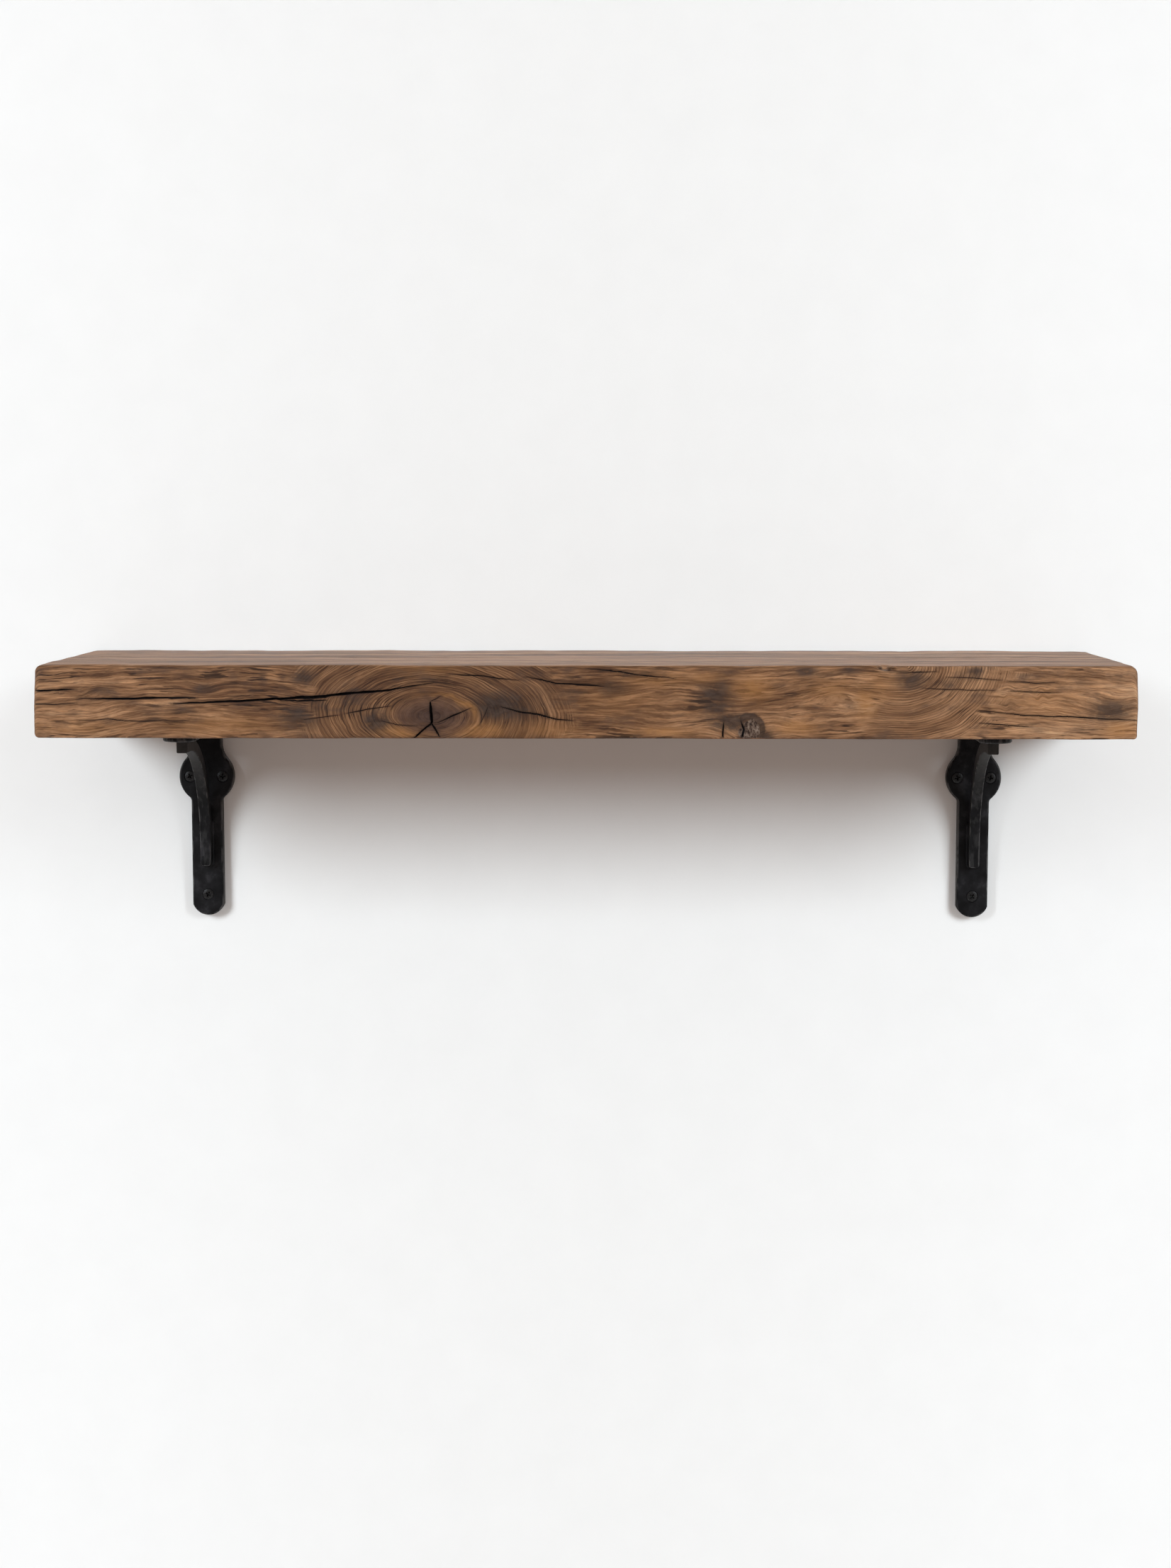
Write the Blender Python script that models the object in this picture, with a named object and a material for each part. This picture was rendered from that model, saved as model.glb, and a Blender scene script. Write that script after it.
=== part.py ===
"""Timber wall shelf on two forged iron brackets.

Metres, +Z up. The wall is the plane y = 0 and the shelf reaches out along -Y, X runs along
the shelf, and z = 0 is the shelf's top face. Each bracket is a flat strap bent to an L, with
a round boss in each leg, a curved square bar braced between the legs, three countersunk
screws into the wall and three up into the shelf.
"""

import math

import bmesh
import bpy
from mathutils import Matrix, Vector

# Shelf board
BOARD_LENGTH = 0.914
BOARD_DEPTH = 0.228
BOARD_THICKNESS = 0.061
BOARD_EDGE_RADIUS = 0.0035

# Bracket strap: lengths are measured from the corner where the wall meets the shelf's underside
BRACKET_INSET = 0.10525  # bracket's centre line to the end of the board
STRAP_WIDTH = 0.0285
STRAP_THICKNESS = 0.010
BEND_INNER_RADIUS = 0.004
STRAP_CHAMFER = 0.0016
WALL_LEG_LENGTH = 0.1835
SHELF_LEG_LENGTH = 0.154
BOSS_RADIUS = 0.025
BOSS_CENTRE = 0.0545
BOSS_CORNER_FILLET = 0.020  # between the boss and the strap's side towards the bend
BOSS_TIP_FILLET = 0.005  # between the boss and the strap's side towards the tip
TIP_CROWN = 0.010  # how far the round end stands out past the strap's straight sides

# Brace bar, bent to a quarter turn with a straight run welded to each leg
BAR_WIDTH = 0.0095
BAR_DEPTH = 0.011
BAR_CHAMFER = 0.0008
BRACE_NOSE_SETBACK = 0.021  # bar's front end behind the shelf leg's tip
BRACE_FOOT_SETBACK = 0.0475  # bar's lower end above the wall leg's tip
BRACE_NOSE_RUN = 0.0165
BRACE_FOOT_RUN = 0.0195

# Countersunk wood screws with a cross recess
SCREW_HEAD_RADIUS = 0.0049
SCREW_SHANK_RADIUS = 0.0024
SCREW_POINT_LENGTH = 0.006
WALL_SCREW_LENGTH = 0.050
SHELF_SCREW_LENGTH = 0.038
SCREW_SINK = 0.0003  # head's face below the strap's face
RECESS_SPAN = 0.0052
RECESS_SLOT = 0.0011
RECESS_DEPTH = 0.0019
RECESS_TAPER = 0.45
BOSS_SCREW_INSET = 0.010  # screw centre inside the boss's rim
WALL_TIP_SCREW_INSET = 0.0195
SHELF_TIP_SCREW_INSET = 0.008

GAP = 0.0003  # between faces that touch
HOLE_CLEARANCE = 0.00035  # round a screw's shank
SEAT_CLEARANCE = 0.00042  # round a screw's cone, measured across its axis

ARC_STEP = math.radians(11)
ROUND_SEGMENTS = 24

HALF_STRAP = STRAP_WIDTH / 2
BEND_OUTER_RADIUS = BEND_INNER_RADIUS + STRAP_THICKNESS
BRACKET_X = BOARD_LENGTH / 2 - BRACKET_INSET
BRACKET_Z = -BOARD_THICKNESS
BOSS_SCREW_OFFSET = BOSS_RADIUS - BOSS_SCREW_INSET


def arc(centre, radius, start, end):
    """Points along an arc, both ends included; angles in radians."""
    count = max(2, math.ceil(abs(end - start) / ARC_STEP))
    return [
        (
            centre[0] + radius * math.cos(start + (end - start) * i / count),
            centre[1] + radius * math.sin(start + (end - start) * i / count),
        )
        for i in range(count + 1)
    ]


def fillet_reach(fillet):
    """How far from the boss's centre a fillet of this radius meets the strap's straight side."""
    return math.sqrt((BOSS_RADIUS + fillet) ** 2 - (HALF_STRAP + fillet) ** 2)


def leg_outline(start, length):
    """(distance from the corner, half width) from the bend's end, at start, to the leg's tip."""
    near, far = fillet_reach(BOSS_CORNER_FILLET), fillet_reach(BOSS_TIP_FILLET)
    near_angle = math.atan2(HALF_STRAP + BOSS_CORNER_FILLET, near)
    far_angle = math.atan2(HALF_STRAP + BOSS_TIP_FILLET, far)
    crown_radius = (HALF_STRAP**2 + TIP_CROWN**2) / (2 * TIP_CROWN)
    crown_angle = math.atan2(HALF_STRAP, crown_radius - TIP_CROWN)
    points = [(start, HALF_STRAP)]
    points += arc(
        (BOSS_CENTRE - near, HALF_STRAP + BOSS_CORNER_FILLET),
        BOSS_CORNER_FILLET,
        -math.pi / 2,
        -near_angle,
    )
    points += arc((BOSS_CENTRE, 0), BOSS_RADIUS, math.pi - near_angle, far_angle)[1:]
    points += arc(
        (BOSS_CENTRE + far, HALF_STRAP + BOSS_TIP_FILLET),
        BOSS_TIP_FILLET,
        math.pi + far_angle,
        math.pi * 1.5,
    )[1:]
    points += arc((length - crown_radius, 0), crown_radius, crown_angle, 0)[:-1]
    return points


def strap_stations():
    """Stations along the strap's outer face, wall leg's tip to shelf leg's tip.

    Each is (point on the outer face, direction into the strap's thickness, half width), in the
    Y-Z plane of the bracket, whose origin is the corner under the shelf.
    """
    wall_leg = leg_outline(BEND_OUTER_RADIUS + GAP, WALL_LEG_LENGTH)
    stations = [(Vector((0, 0, -d)), Vector((0, -1, 0)), w) for d, w in reversed(wall_leg)]
    bend_centre = Vector((0, -BEND_OUTER_RADIUS, -GAP - BEND_OUTER_RADIUS))
    steps = 6
    for i in range(1, steps):
        turn = math.pi / 2 * i / steps
        outward = Vector((0, math.cos(turn), math.sin(turn)))
        stations.append((bend_centre + outward * BEND_OUTER_RADIUS, -outward, HALF_STRAP))
    for d, w in leg_outline(BEND_OUTER_RADIUS, SHELF_LEG_LENGTH):
        stations.append((Vector((0, -d, -GAP)), Vector((0, 0, -1)), w))
    return stations


def strap_mesh():
    mesh = bmesh.new()
    wall_tip = (Vector((0, 0, -WALL_LEG_LENGTH)), Vector((0, -1, 0)))
    shelf_tip = (Vector((0, -SHELF_LEG_LENGTH, -GAP)), Vector((0, 0, -1)))

    def pair(base, inward, x):
        side = Vector((x, 0, 0))
        return (
            mesh.verts.new(base + side),
            mesh.verts.new(base + side + inward * STRAP_THICKNESS),
        )

    rows = [(pair(base, inward, -w), pair(base, inward, w)) for base, inward, w in strap_stations()]
    first, last = pair(*wall_tip, 0), pair(*shelf_tip, 0)
    for (left, right), (next_left, next_right) in zip(rows, rows[1:]):
        for depth in (0, 1):
            mesh.faces.new((left[depth], right[depth], next_right[depth], next_left[depth]))
    for row, tip in ((rows[0], first), (rows[-1], last)):
        for depth in (0, 1):
            mesh.faces.new((row[0][depth], row[1][depth], tip[depth]))
    rim = [first] + [row[1] for row in rows] + [last] + [row[0] for row in reversed(rows)]
    for here, there in zip(rim, rim[1:] + rim[:1]):
        mesh.faces.new((here[0], there[0], there[1], here[1]))
    bmesh.ops.recalc_face_normals(mesh, faces=mesh.faces)

    weight = mesh.edges.layers.float.new("bevel_weight_edge")
    inner = {pair_of[1] for pair_of in rim}
    for edge in mesh.edges:
        on_rim = edge.verts[0] in inner and edge.verts[1] in inner
        if on_rim and edge.calc_face_angle(0) > math.radians(60):
            edge[weight] = 1
    return mesh


def brace_path():
    """(point, outward direction) along the brace's centre line, front end to lower end.

    The quarter turn has its own reach along each leg, so it follows either leg's length.
    """
    nose = SHELF_LEG_LENGTH - BRACE_NOSE_SETBACK
    foot = WALL_LEG_LENGTH - BRACE_FOOT_SETBACK
    level = GAP + STRAP_THICKNESS + GAP + BAR_DEPTH / 2
    upright = STRAP_THICKNESS + GAP + BAR_DEPTH / 2
    turn_y, turn_z = nose - BRACE_NOSE_RUN, foot - BRACE_FOOT_RUN
    reach_y, reach_z = turn_y - upright, turn_z - level
    path = [(Vector((0, -nose, -level)), Vector((0, 0, 1)))]
    steps = 18
    for i in range(steps + 1):
        t = math.pi / 2 * i / steps
        point = Vector((0, -turn_y + reach_y * math.sin(t), -turn_z + reach_z * math.cos(t)))
        outward = Vector((0, reach_z * math.sin(t), reach_y * math.cos(t))).normalized()
        path.append((point, outward))
    path.append((Vector((0, -upright, -foot)), Vector((0, 1, 0))))
    return path


def brace_mesh():
    mesh = bmesh.new()
    half_w, half_d, cut = BAR_WIDTH / 2, BAR_DEPTH / 2, BAR_CHAMFER
    section = [
        (-half_w + cut, -half_d),
        (half_w - cut, -half_d),
        (half_w, -half_d + cut),
        (half_w, half_d - cut),
        (half_w - cut, half_d),
        (-half_w + cut, half_d),
        (-half_w, half_d - cut),
        (-half_w, -half_d + cut),
    ]
    rings = [
        [mesh.verts.new(point + Vector((x, 0, 0)) + outward * d) for x, d in section]
        for point, outward in brace_path()
    ]
    bridge(mesh, rings)
    mesh.faces.new(rings[0])
    mesh.faces.new(rings[-1])
    bmesh.ops.recalc_face_normals(mesh, faces=mesh.faces)
    return mesh


def bridge(mesh, rings):
    for ring, after in zip(rings, rings[1:]):
        for i in range(len(ring)):
            j = (i + 1) % len(ring)
            mesh.faces.new((ring[i], ring[j], after[j], after[i]))


def turned(mesh, profile, axis):
    """Add a solid turned about local Z; profile is (radius, z) and axis places it."""
    rings, ends = [], []
    for radius, z in profile:
        if radius == 0:
            ends.append(mesh.verts.new(axis @ Vector((0, 0, z))))
            continue
        turns = [2 * math.pi * i / ROUND_SEGMENTS for i in range(ROUND_SEGMENTS)]
        rings.append(
            [mesh.verts.new(axis @ Vector((radius * math.cos(t), radius * math.sin(t), z))) for t in turns]
        )
    bridge(mesh, rings)
    for ring, end in ((rings[0], profile[0]), (rings[-1], profile[-1])):
        if end[0] == 0:
            tip = ends.pop(0)
            for here, there in zip(ring, ring[1:] + ring[:1]):
                mesh.faces.new((here, there, tip))
        else:
            mesh.faces.new(ring)


def screw_mesh(length):
    """Screw with its head's face at z = 0 and its shank along -Z."""
    mesh = bmesh.new()
    cone = SCREW_HEAD_RADIUS - SCREW_SHANK_RADIUS
    profile = [
        (SCREW_HEAD_RADIUS, 0),
        (SCREW_SHANK_RADIUS, -cone),
        (SCREW_SHANK_RADIUS, -length + SCREW_POINT_LENGTH),
        (0, -length),
    ]
    turned(mesh, profile, Matrix.Identity(4))
    bmesh.ops.recalc_face_normals(mesh, faces=mesh.faces)
    return mesh


def recess_mesh():
    """Tapered cross that cuts a screw's recess, from just above the head's face downwards."""
    mesh = bmesh.new()
    arm, slot = RECESS_SPAN / 2, RECESS_SLOT / 2
    cross = [(arm, -slot), (arm, slot), (slot, slot)]
    outline = []
    for quarter in range(4):
        turn = Matrix.Rotation(quarter * math.pi / 2, 3, "Z")
        outline += [turn @ Vector((x, y, 0)) for x, y in cross]
    rise = RECESS_DEPTH / 4
    shrink = (1 - RECESS_TAPER) / RECESS_DEPTH
    rings = []
    for z in (rise, -RECESS_DEPTH):
        scale = 1 + shrink * z
        rings.append([mesh.verts.new(Vector((p.x * scale, p.y * scale, z))) for p in outline])
    bridge(mesh, rings)
    mesh.faces.new(rings[0])
    mesh.faces.new(rings[-1])
    bmesh.ops.recalc_face_normals(mesh, faces=mesh.faces)
    return mesh


def screw_places():
    """(name, where the screw's head sits, its length) for one bracket, in the bracket's frame.

    A place turns local Z to the way that the head faces.
    """
    to_room = Matrix.Rotation(math.pi / 2, 4, "X")
    downward = Matrix.Rotation(math.pi, 4, "X")
    wall_face = -STRAP_THICKNESS + SCREW_SINK
    shelf_face = -GAP - STRAP_THICKNESS + SCREW_SINK
    tip = SHELF_LEG_LENGTH - SHELF_TIP_SCREW_INSET
    spots = [
        ("wall_screw_a", (-BOSS_SCREW_OFFSET, wall_face, -BOSS_CENTRE), to_room, WALL_SCREW_LENGTH),
        ("wall_screw_b", (BOSS_SCREW_OFFSET, wall_face, -BOSS_CENTRE), to_room, WALL_SCREW_LENGTH),
        ("wall_screw_c", (0, wall_face, -WALL_LEG_LENGTH + WALL_TIP_SCREW_INSET), to_room, WALL_SCREW_LENGTH),
        ("shelf_screw_a", (-BOSS_SCREW_OFFSET, -BOSS_CENTRE, shelf_face), downward, SHELF_SCREW_LENGTH),
        ("shelf_screw_b", (BOSS_SCREW_OFFSET, -BOSS_CENTRE, shelf_face), downward, SHELF_SCREW_LENGTH),
        ("shelf_screw_c", (0, -tip, shelf_face), downward, SHELF_SCREW_LENGTH),
    ]
    return [(name, Matrix.Translation(at) @ turn, length) for name, at, turn, length in spots]


def strap_holes_mesh():
    """Countersunk through holes for one strap, as one set of cutting bodies."""
    mesh = bmesh.new()
    hole = SCREW_SHANK_RADIUS + HOLE_CLEARANCE
    mouth = SCREW_HEAD_RADIUS + SEAT_CLEARANCE
    above = SCREW_SINK + 0.001
    profile = [
        (mouth + above, above),
        (hole, hole - mouth),
        (hole, -STRAP_THICKNESS - 0.002),
    ]
    for _, place, _ in screw_places():
        turned(mesh, profile, place)
    bmesh.ops.recalc_face_normals(mesh, faces=mesh.faces)
    return mesh


def pilot_holes_mesh():
    """Holes for the shelf screws of both brackets, as one set of cutting bodies."""
    mesh = bmesh.new()
    hole = SCREW_SHANK_RADIUS + HOLE_CLEARANCE
    for x in (-BRACKET_X, BRACKET_X):
        for name, place, length in screw_places():
            if not name.startswith("shelf"):
                continue
            head_depth = STRAP_THICKNESS + GAP - SCREW_SINK
            profile = [(hole, -head_depth + 0.002), (hole, -length - GAP)]
            turned(mesh, profile, Matrix.Translation((x, 0, BRACKET_Z)) @ place)
    bmesh.ops.recalc_face_normals(mesh, faces=mesh.faces)
    return mesh


def board_mesh():
    mesh = bmesh.new()
    bmesh.ops.create_cube(mesh, size=1)
    bmesh.ops.scale(mesh, vec=(BOARD_LENGTH, BOARD_DEPTH, BOARD_THICKNESS), verts=mesh.verts)
    bmesh.ops.translate(mesh, vec=(0, -BOARD_DEPTH / 2, -BOARD_THICKNESS / 2), verts=mesh.verts)
    return mesh


def material(name, colour, roughness, metallic):
    made = bpy.data.materials.new(name)
    made.use_nodes = True
    shader = made.node_tree.nodes["Principled BSDF"]
    shader.inputs["Base Color"].default_value = (*colour, 1)
    shader.inputs["Roughness"].default_value = roughness
    shader.inputs["Metallic"].default_value = metallic
    made.diffuse_color = (*colour, 1)
    return made


def finished(name, shape):
    """A mesh from a bmesh, smooth across its round faces and sharp at its corners."""
    mesh = bpy.data.meshes.new(name)
    shape.to_mesh(mesh)
    shape.free()
    mesh.shade_smooth()
    mesh.set_sharp_from_angle(angle=math.radians(32))
    return mesh


def place(name, mesh, look=None, parent=None, at=None):
    made = bpy.data.objects.new(name, mesh)
    bpy.context.scene.collection.objects.link(made)
    if look is not None:
        made.data.materials.clear()
        made.data.materials.append(look)
    made.parent = parent
    if at is not None:
        made.matrix_local = at
    return made


def cutter(name, mesh, parent=None):
    made = place(name, mesh, parent=parent)
    made.hide_render = True
    made.display_type = "WIRE"
    return made


def cut(target, tool):
    boolean = target.modifiers.new("cut", "BOOLEAN")
    boolean.operation = "DIFFERENCE"
    boolean.solver = "EXACT"
    boolean.object = tool


def recessed_screw(name, length):
    """A screw's mesh with its cross recess cut, ready to be shared by its copies."""
    blank = place(name, finished(name, screw_mesh(length)))
    tool = place(name + "_recess", finished(name + "_recess", recess_mesh()))
    cut(blank, tool)
    graph = bpy.context.evaluated_depsgraph_get()
    mesh = bpy.data.meshes.new_from_object(blank.evaluated_get(graph))
    mesh.name = name
    bpy.data.objects.remove(blank)
    bpy.data.objects.remove(tool)
    return mesh


def build():
    for old in list(bpy.data.objects):
        bpy.data.objects.remove(old)

    oak = material("reclaimed_oak", (0.33, 0.215, 0.14), 0.72, 0.0)
    iron = material("black_iron", (0.022, 0.021, 0.023), 0.46, 0.55)
    steel = material("darkened_screw_steel", (0.075, 0.073, 0.074), 0.42, 0.85)

    board = place("shelf_board", finished("shelf_board", board_mesh()), oak)
    edge = board.modifiers.new("worn_edges", "BEVEL")
    edge.width = BOARD_EDGE_RADIUS
    edge.segments = 3
    edge.limit_method = "ANGLE"
    cut(board, cutter("pilot_holes", finished("pilot_holes", pilot_holes_mesh())))

    strap = finished("strap", strap_mesh())
    brace = finished("brace", brace_mesh())
    screws = {
        WALL_SCREW_LENGTH: recessed_screw("wall_screw", WALL_SCREW_LENGTH),
        SHELF_SCREW_LENGTH: recessed_screw("shelf_screw", SHELF_SCREW_LENGTH),
    }
    holes = finished("strap_holes", strap_holes_mesh())

    for side, x in (("left", -BRACKET_X), ("right", BRACKET_X)):
        bracket = place(side + "_bracket", None, at=Matrix.Translation((x, 0, BRACKET_Z)))
        body = place(side + "_strap", strap, iron, bracket)
        chamfer = body.modifiers.new("eased_edges", "BEVEL")
        chamfer.width = STRAP_CHAMFER
        chamfer.segments = 1
        chamfer.limit_method = "WEIGHT"
        cut(body, cutter(side + "_strap_holes", holes, bracket))
        place(side + "_brace", brace, iron, bracket)
        for name, at, length in screw_places():
            place(f"{side}_{name}", screws[length], steel, bracket, at)


build()
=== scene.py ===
"""Looks of the wall shelf: a weathered oak beam on two black forged-iron brackets.

Lengths are millimetres in the row frame unless a name ends in _M, for metres. The wall is y = 0,
the shelf's top is z = 0 and its front edge faces -Y.
"""

from functools import cached_property
from itertools import product
from math import atan2, ceil, cos, pi, radians, sin, sqrt, tan

import bmesh
import bpy
import numpy as np
from mathutils import Matrix, Vector


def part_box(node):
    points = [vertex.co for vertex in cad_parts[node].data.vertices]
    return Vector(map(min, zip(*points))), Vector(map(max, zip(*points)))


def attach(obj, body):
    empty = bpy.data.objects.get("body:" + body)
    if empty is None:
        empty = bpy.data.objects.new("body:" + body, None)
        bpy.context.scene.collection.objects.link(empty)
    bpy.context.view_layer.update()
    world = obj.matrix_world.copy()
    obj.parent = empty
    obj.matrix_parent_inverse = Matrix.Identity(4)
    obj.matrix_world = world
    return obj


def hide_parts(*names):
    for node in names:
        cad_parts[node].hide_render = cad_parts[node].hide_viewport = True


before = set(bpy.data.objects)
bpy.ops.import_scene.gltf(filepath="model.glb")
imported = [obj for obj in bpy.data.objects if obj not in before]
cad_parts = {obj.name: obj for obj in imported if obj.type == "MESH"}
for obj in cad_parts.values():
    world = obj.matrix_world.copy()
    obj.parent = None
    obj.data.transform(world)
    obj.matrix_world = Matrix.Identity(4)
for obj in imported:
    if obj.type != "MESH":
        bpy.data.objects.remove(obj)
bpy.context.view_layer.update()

MM = 0.001


def box_mm(node):
    """A CAD node's lowest and highest corner in millimetres."""
    low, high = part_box(node)
    return np.array(low) / MM, np.array(high) / MM


BOARD_LOW, BOARD_HIGH = box_mm("shelf_board")
BOARD_FRONT = BOARD_LOW[1]
UNDERSIDE = BOARD_LOW[2]
HALF_BOARD = BOARD_HIGH[0]
STRAP_LOW, STRAP_HIGH = box_mm("right_strap")
BRACKET_X = (STRAP_LOW[0] + STRAP_HIGH[0]) / 2
BRACE_LOW, BRACE_HIGH = box_mm("right_brace")


# ---- noise and smooth steps


def smooth(low, high, value):
    """0 below low, 1 above high, and a smooth step between; low may be above high."""
    t = np.clip((value - low) / (high - low), 0, 1)
    return t * t * (3 - 2 * t)


def bell(value, middle, width):
    """1 where value is at the middle, and near 0 past twice the width."""
    return np.exp(-(((value - middle) / width) ** 2))


def lattice(ix, iy, iz, seed):
    """A repeatable random number from -1 to 1 for each whole-numbered place."""
    mixed = (ix * 374761393 + iy * 668265263 + iz * 2147483647 + seed * 1274126177) & 0xFFFFFFFF
    mixed = ((mixed ^ (mixed >> 13)) * 1274126177) & 0xFFFFFFFF
    mixed = mixed ^ (mixed >> 16)
    return (mixed & 0xFFFF) / 32767.5 - 1


def noise(points, size, seed=0):
    """Smooth noise from -1 to 1 whose lumps are about `size` across; size may be one per axis."""
    scaled = np.asarray(points, float) / np.asarray(size, float)
    cell = np.floor(scaled).astype(np.int64)
    part = scaled - cell
    part = part * part * part * (part * (part * 6 - 15) + 10)
    total = 0.0
    for corner in product((0, 1), repeat=3):
        wx, wy, wz = (part[:, i] if far else 1 - part[:, i] for i, far in enumerate(corner))
        total = total + wx * wy * wz * lattice(*(cell + corner).T, seed)
    return total


def spot(x, z, centre, size):
    """A soft round patch, 1 at its centre and near 0 past twice its size."""
    return np.exp(-(((x - centre[0]) / size[0]) ** 2) - (((z - centre[1]) / size[1]) ** 2))


# ---- the board's features

BIG_KNOT = (-126, -42)
BIG_KNOT_HEART = (31, 16)
LOW_KNOT = (131, -59)
ARCS = (266, 0)  # the middle of the bowed rings on the right
CHIP_X = 249
CHIP_DEPTH = 5.5

FRONT, STEEP, TOP = 0, 1, 2  # a crack along the front, one up and down it, one along the top
# which ends of a crack taper to nothing: (its start, its end)
BOTH, AT_START, AT_END, NEITHER = (True, True), (True, False), (False, True), (False, False)

# (face, path, widest, deepest, tapers). A path is (x, z) on the front, (x, y) on the top and
# (y, z) on an end; END_CRACKS says which end by its sign and leaves out the face.
CRACKS = [
    (FRONT, [(-459, -21), (-445, -21.4), (-423, -20.6)], 1.25, 6, AT_END),
    (FRONT, [(-457, -32.6), (-440, -33), (-423, -32.2)], 0.45, 1.5, AT_END),
    (FRONT, [(-419, -28), (-384, -28.2), (-352, -27.5), (-322, -27.2)], 1.35, 6, BOTH),
    (FRONT, [(-342, -32.5), (-273, -29.2), (-240, -27), (-213, -25), (-161, -20.5), (-124, -14.4)],
     1.9, 8, BOTH),
    (FRONT, [(-252, -30), (-233, -29.6), (-214, -29.4)], 0.9, 3, BOTH),
    (FRONT, [(-233, -45.2), (-218, -43.4), (-204, -41.7)], 0.35, 1.2, BOTH),
    (FRONT, [(-198, -40.4), (-181, -36.7), (-161, -34)], 0.55, 1.5, BOTH),
    (FRONT, [(-112, -7.2), (-83, -8.8), (-71, -11), (-54, -12.2)], 0.75, 3, BOTH),
    (FRONT, [(-48, -9.4), (-38, -11.5), (-23, -14.9), (2, -16), (17, -17.3)], 1.0, 4, BOTH),
    (FRONT, [(-69, -34.3), (-53, -38.8), (-38, -40.7), (-23, -44.8), (-9, -46)], 1.15, 4, BOTH),
    (STEEP, [(-79.5, -34.7), (-83, -42), (-86.2, -48.2)], 0.35, 1.2, BOTH),
    (FRONT, [(3, -2.8), (21, -4), (45, -7.8), (74, -10.5)], 0.7, 2, BOTH),
    (FRONT, [(326, -36.6), (359, -40.3), (386, -41.7), (416, -42.7), (459, -45.2)], 0.6, 3, BOTH),
    (FRONT, [(326, -47.2), (341, -48.2), (368, -50.2)], 0.55, 1.5, BOTH),
    (FRONT, [(281, -18.7), (305, -19.6), (338, -20.2)], 0.35, 1.0, BOTH),
    (FRONT, [(352, -20.6), (370, -21.6), (388, -22.3)], 0.4, 1.0, BOTH),
    (FRONT, [(-419, -46.6), (-395, -45.2), (-370, -46.8), (-330, -46)], 0.35, 0.8, BOTH),
    (FRONT, [(300, -9.4), (320, -9.8), (343, -11.8)], 0.3, 0.8, BOTH),
    (FRONT, [(350, -12.4), (371, -14.2), (388, -13.4)], 0.3, 0.8, BOTH),
    (FRONT, [(260, -5.6), (275, -5.4), (290, -4.6)], 0.3, 1.0, BOTH),
    (STEEP, [(-127.5, -30.4), (-127.0, -38), (-126.6, -48.4)], 2.2, 9, AT_START),
    (STEEP, [(-126.6, -48.0), (-134, -54), (-142, -61.5)], 2.0, 8, NEITHER),
    (STEEP, [(-126.6, -48.0), (-123, -54), (-119.6, -60)], 1.6, 7, AT_END),
    (FRONT, [(-122, -48.2), (-108, -41.6), (-94, -35.4)], 0.9, 4, BOTH),
    (FRONT, [(-127.3, -30.6), (-119, -25.4)], 0.6, 2, BOTH),
    (FRONT, [(-168, -46.5), (-155, -49.6), (-140, -50.5)], 0.3, 1, BOTH),
    (STEEP, [(115.5, -47), (115, -60)], 1.0, 3, AT_START),
    (STEEP, [(129.5, -45.5), (132, -53), (130.5, -60)], 1.3, 3, AT_START),
    (TOP, [(-444, -112), (-418, -110), (-394, -111)], 1.6, 3, BOTH),
    (TOP, [(-281, -113), (-210, -109), (-130, -114), (-58, -111)], 2.2, 5, BOTH),
    (TOP, [(246, -112), (300, -108), (380, -111), (440, -108)], 2.0, 4, BOTH),
    (TOP, [(-120, -60), (-20, -64), (60, -61)], 1.2, 3, BOTH),
]
END_CRACKS = {
    -1: [
        ([(-229, -21), (-196, -24), (-160, -20), (-122, -27)], 1.6, 6, AT_END),
        ([(-92, -2), (-86, -18), (-89, -37)], 1.5, 5, AT_END),
        ([(-60, -44), (-31, -38), (1, -41)], 1.1, 4, AT_START),
    ],
    1: [
        ([(-229, -45), (-190, -42), (-158, -36)], 1.2, 4, AT_END),
        ([(-121, -61), (-112, -43), (-118, -22)], 1.6, 6, AT_END),
        ([(-48, -1), (-52, -16), (-44, -31)], 1.2, 4, AT_END),
    ],
}

# soft patches on the front: (x, z, half width, half height, amount)
DARK_PATCHES = [
    (*BIG_KNOT, 26, 12, 0.75), (-68, -34, 27, 14, 0.9), (-172, -47, 12, 10, 1.0),
    (-272, -36, 10, 4, 0.35), (-196, -27, 20, 15, 0.45), (-40, -26, 26, 16, 0.32),
    (110, -26, 17, 20, 0.85), (122, -47, 20, 9, 0.95), (147, -58, 11, 7, 0.95),
    (-399, -22, 13, 4.5, 0.5), (-314, -19, 12, 6, 0.6), (-330, -7, 22, 5, 0.3), (-423, -40, 9, 5, 0.35),
    (-357, -45, 10, 3.5, 0.45), (-290, -9, 8, 7, 0.4), (-266, -11, 4.5, 9, 0.5),
    (-250, -10, 4, 9, 0.45), (-233, -10, 12, 9, 0.75), (-222, -35, 13, 8, 0.5),
    (-238, -44, 20, 13, 0.75), (48, -7, 17, 4, 0.6), (24, -19, 13, 7, 0.75), (40, -38, 12, 4, 0.35),
    (183, -5, 11, 5, 0.8), (200, -42, 10, 5, 0.4), (220, -4, 12, 4, 0.5), (270, -12, 18, 9, 0.75),
    (301, -15, 9, 6, 0.55), (322, -5, 8, 6, 0.75), (434, -37, 21, 10, 0.9), (352, -33, 12, 6, 0.4),
    (398, -30, 12, 5, 0.4), (411, -12, 11, 5, 0.4), (378, -52, 17, 7, 0.35), (411, -53, 14, 6, 0.4),
    (-452, -4, 14, 5, 0.35), (-452, -58, 14, 5, 0.3),
]
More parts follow.
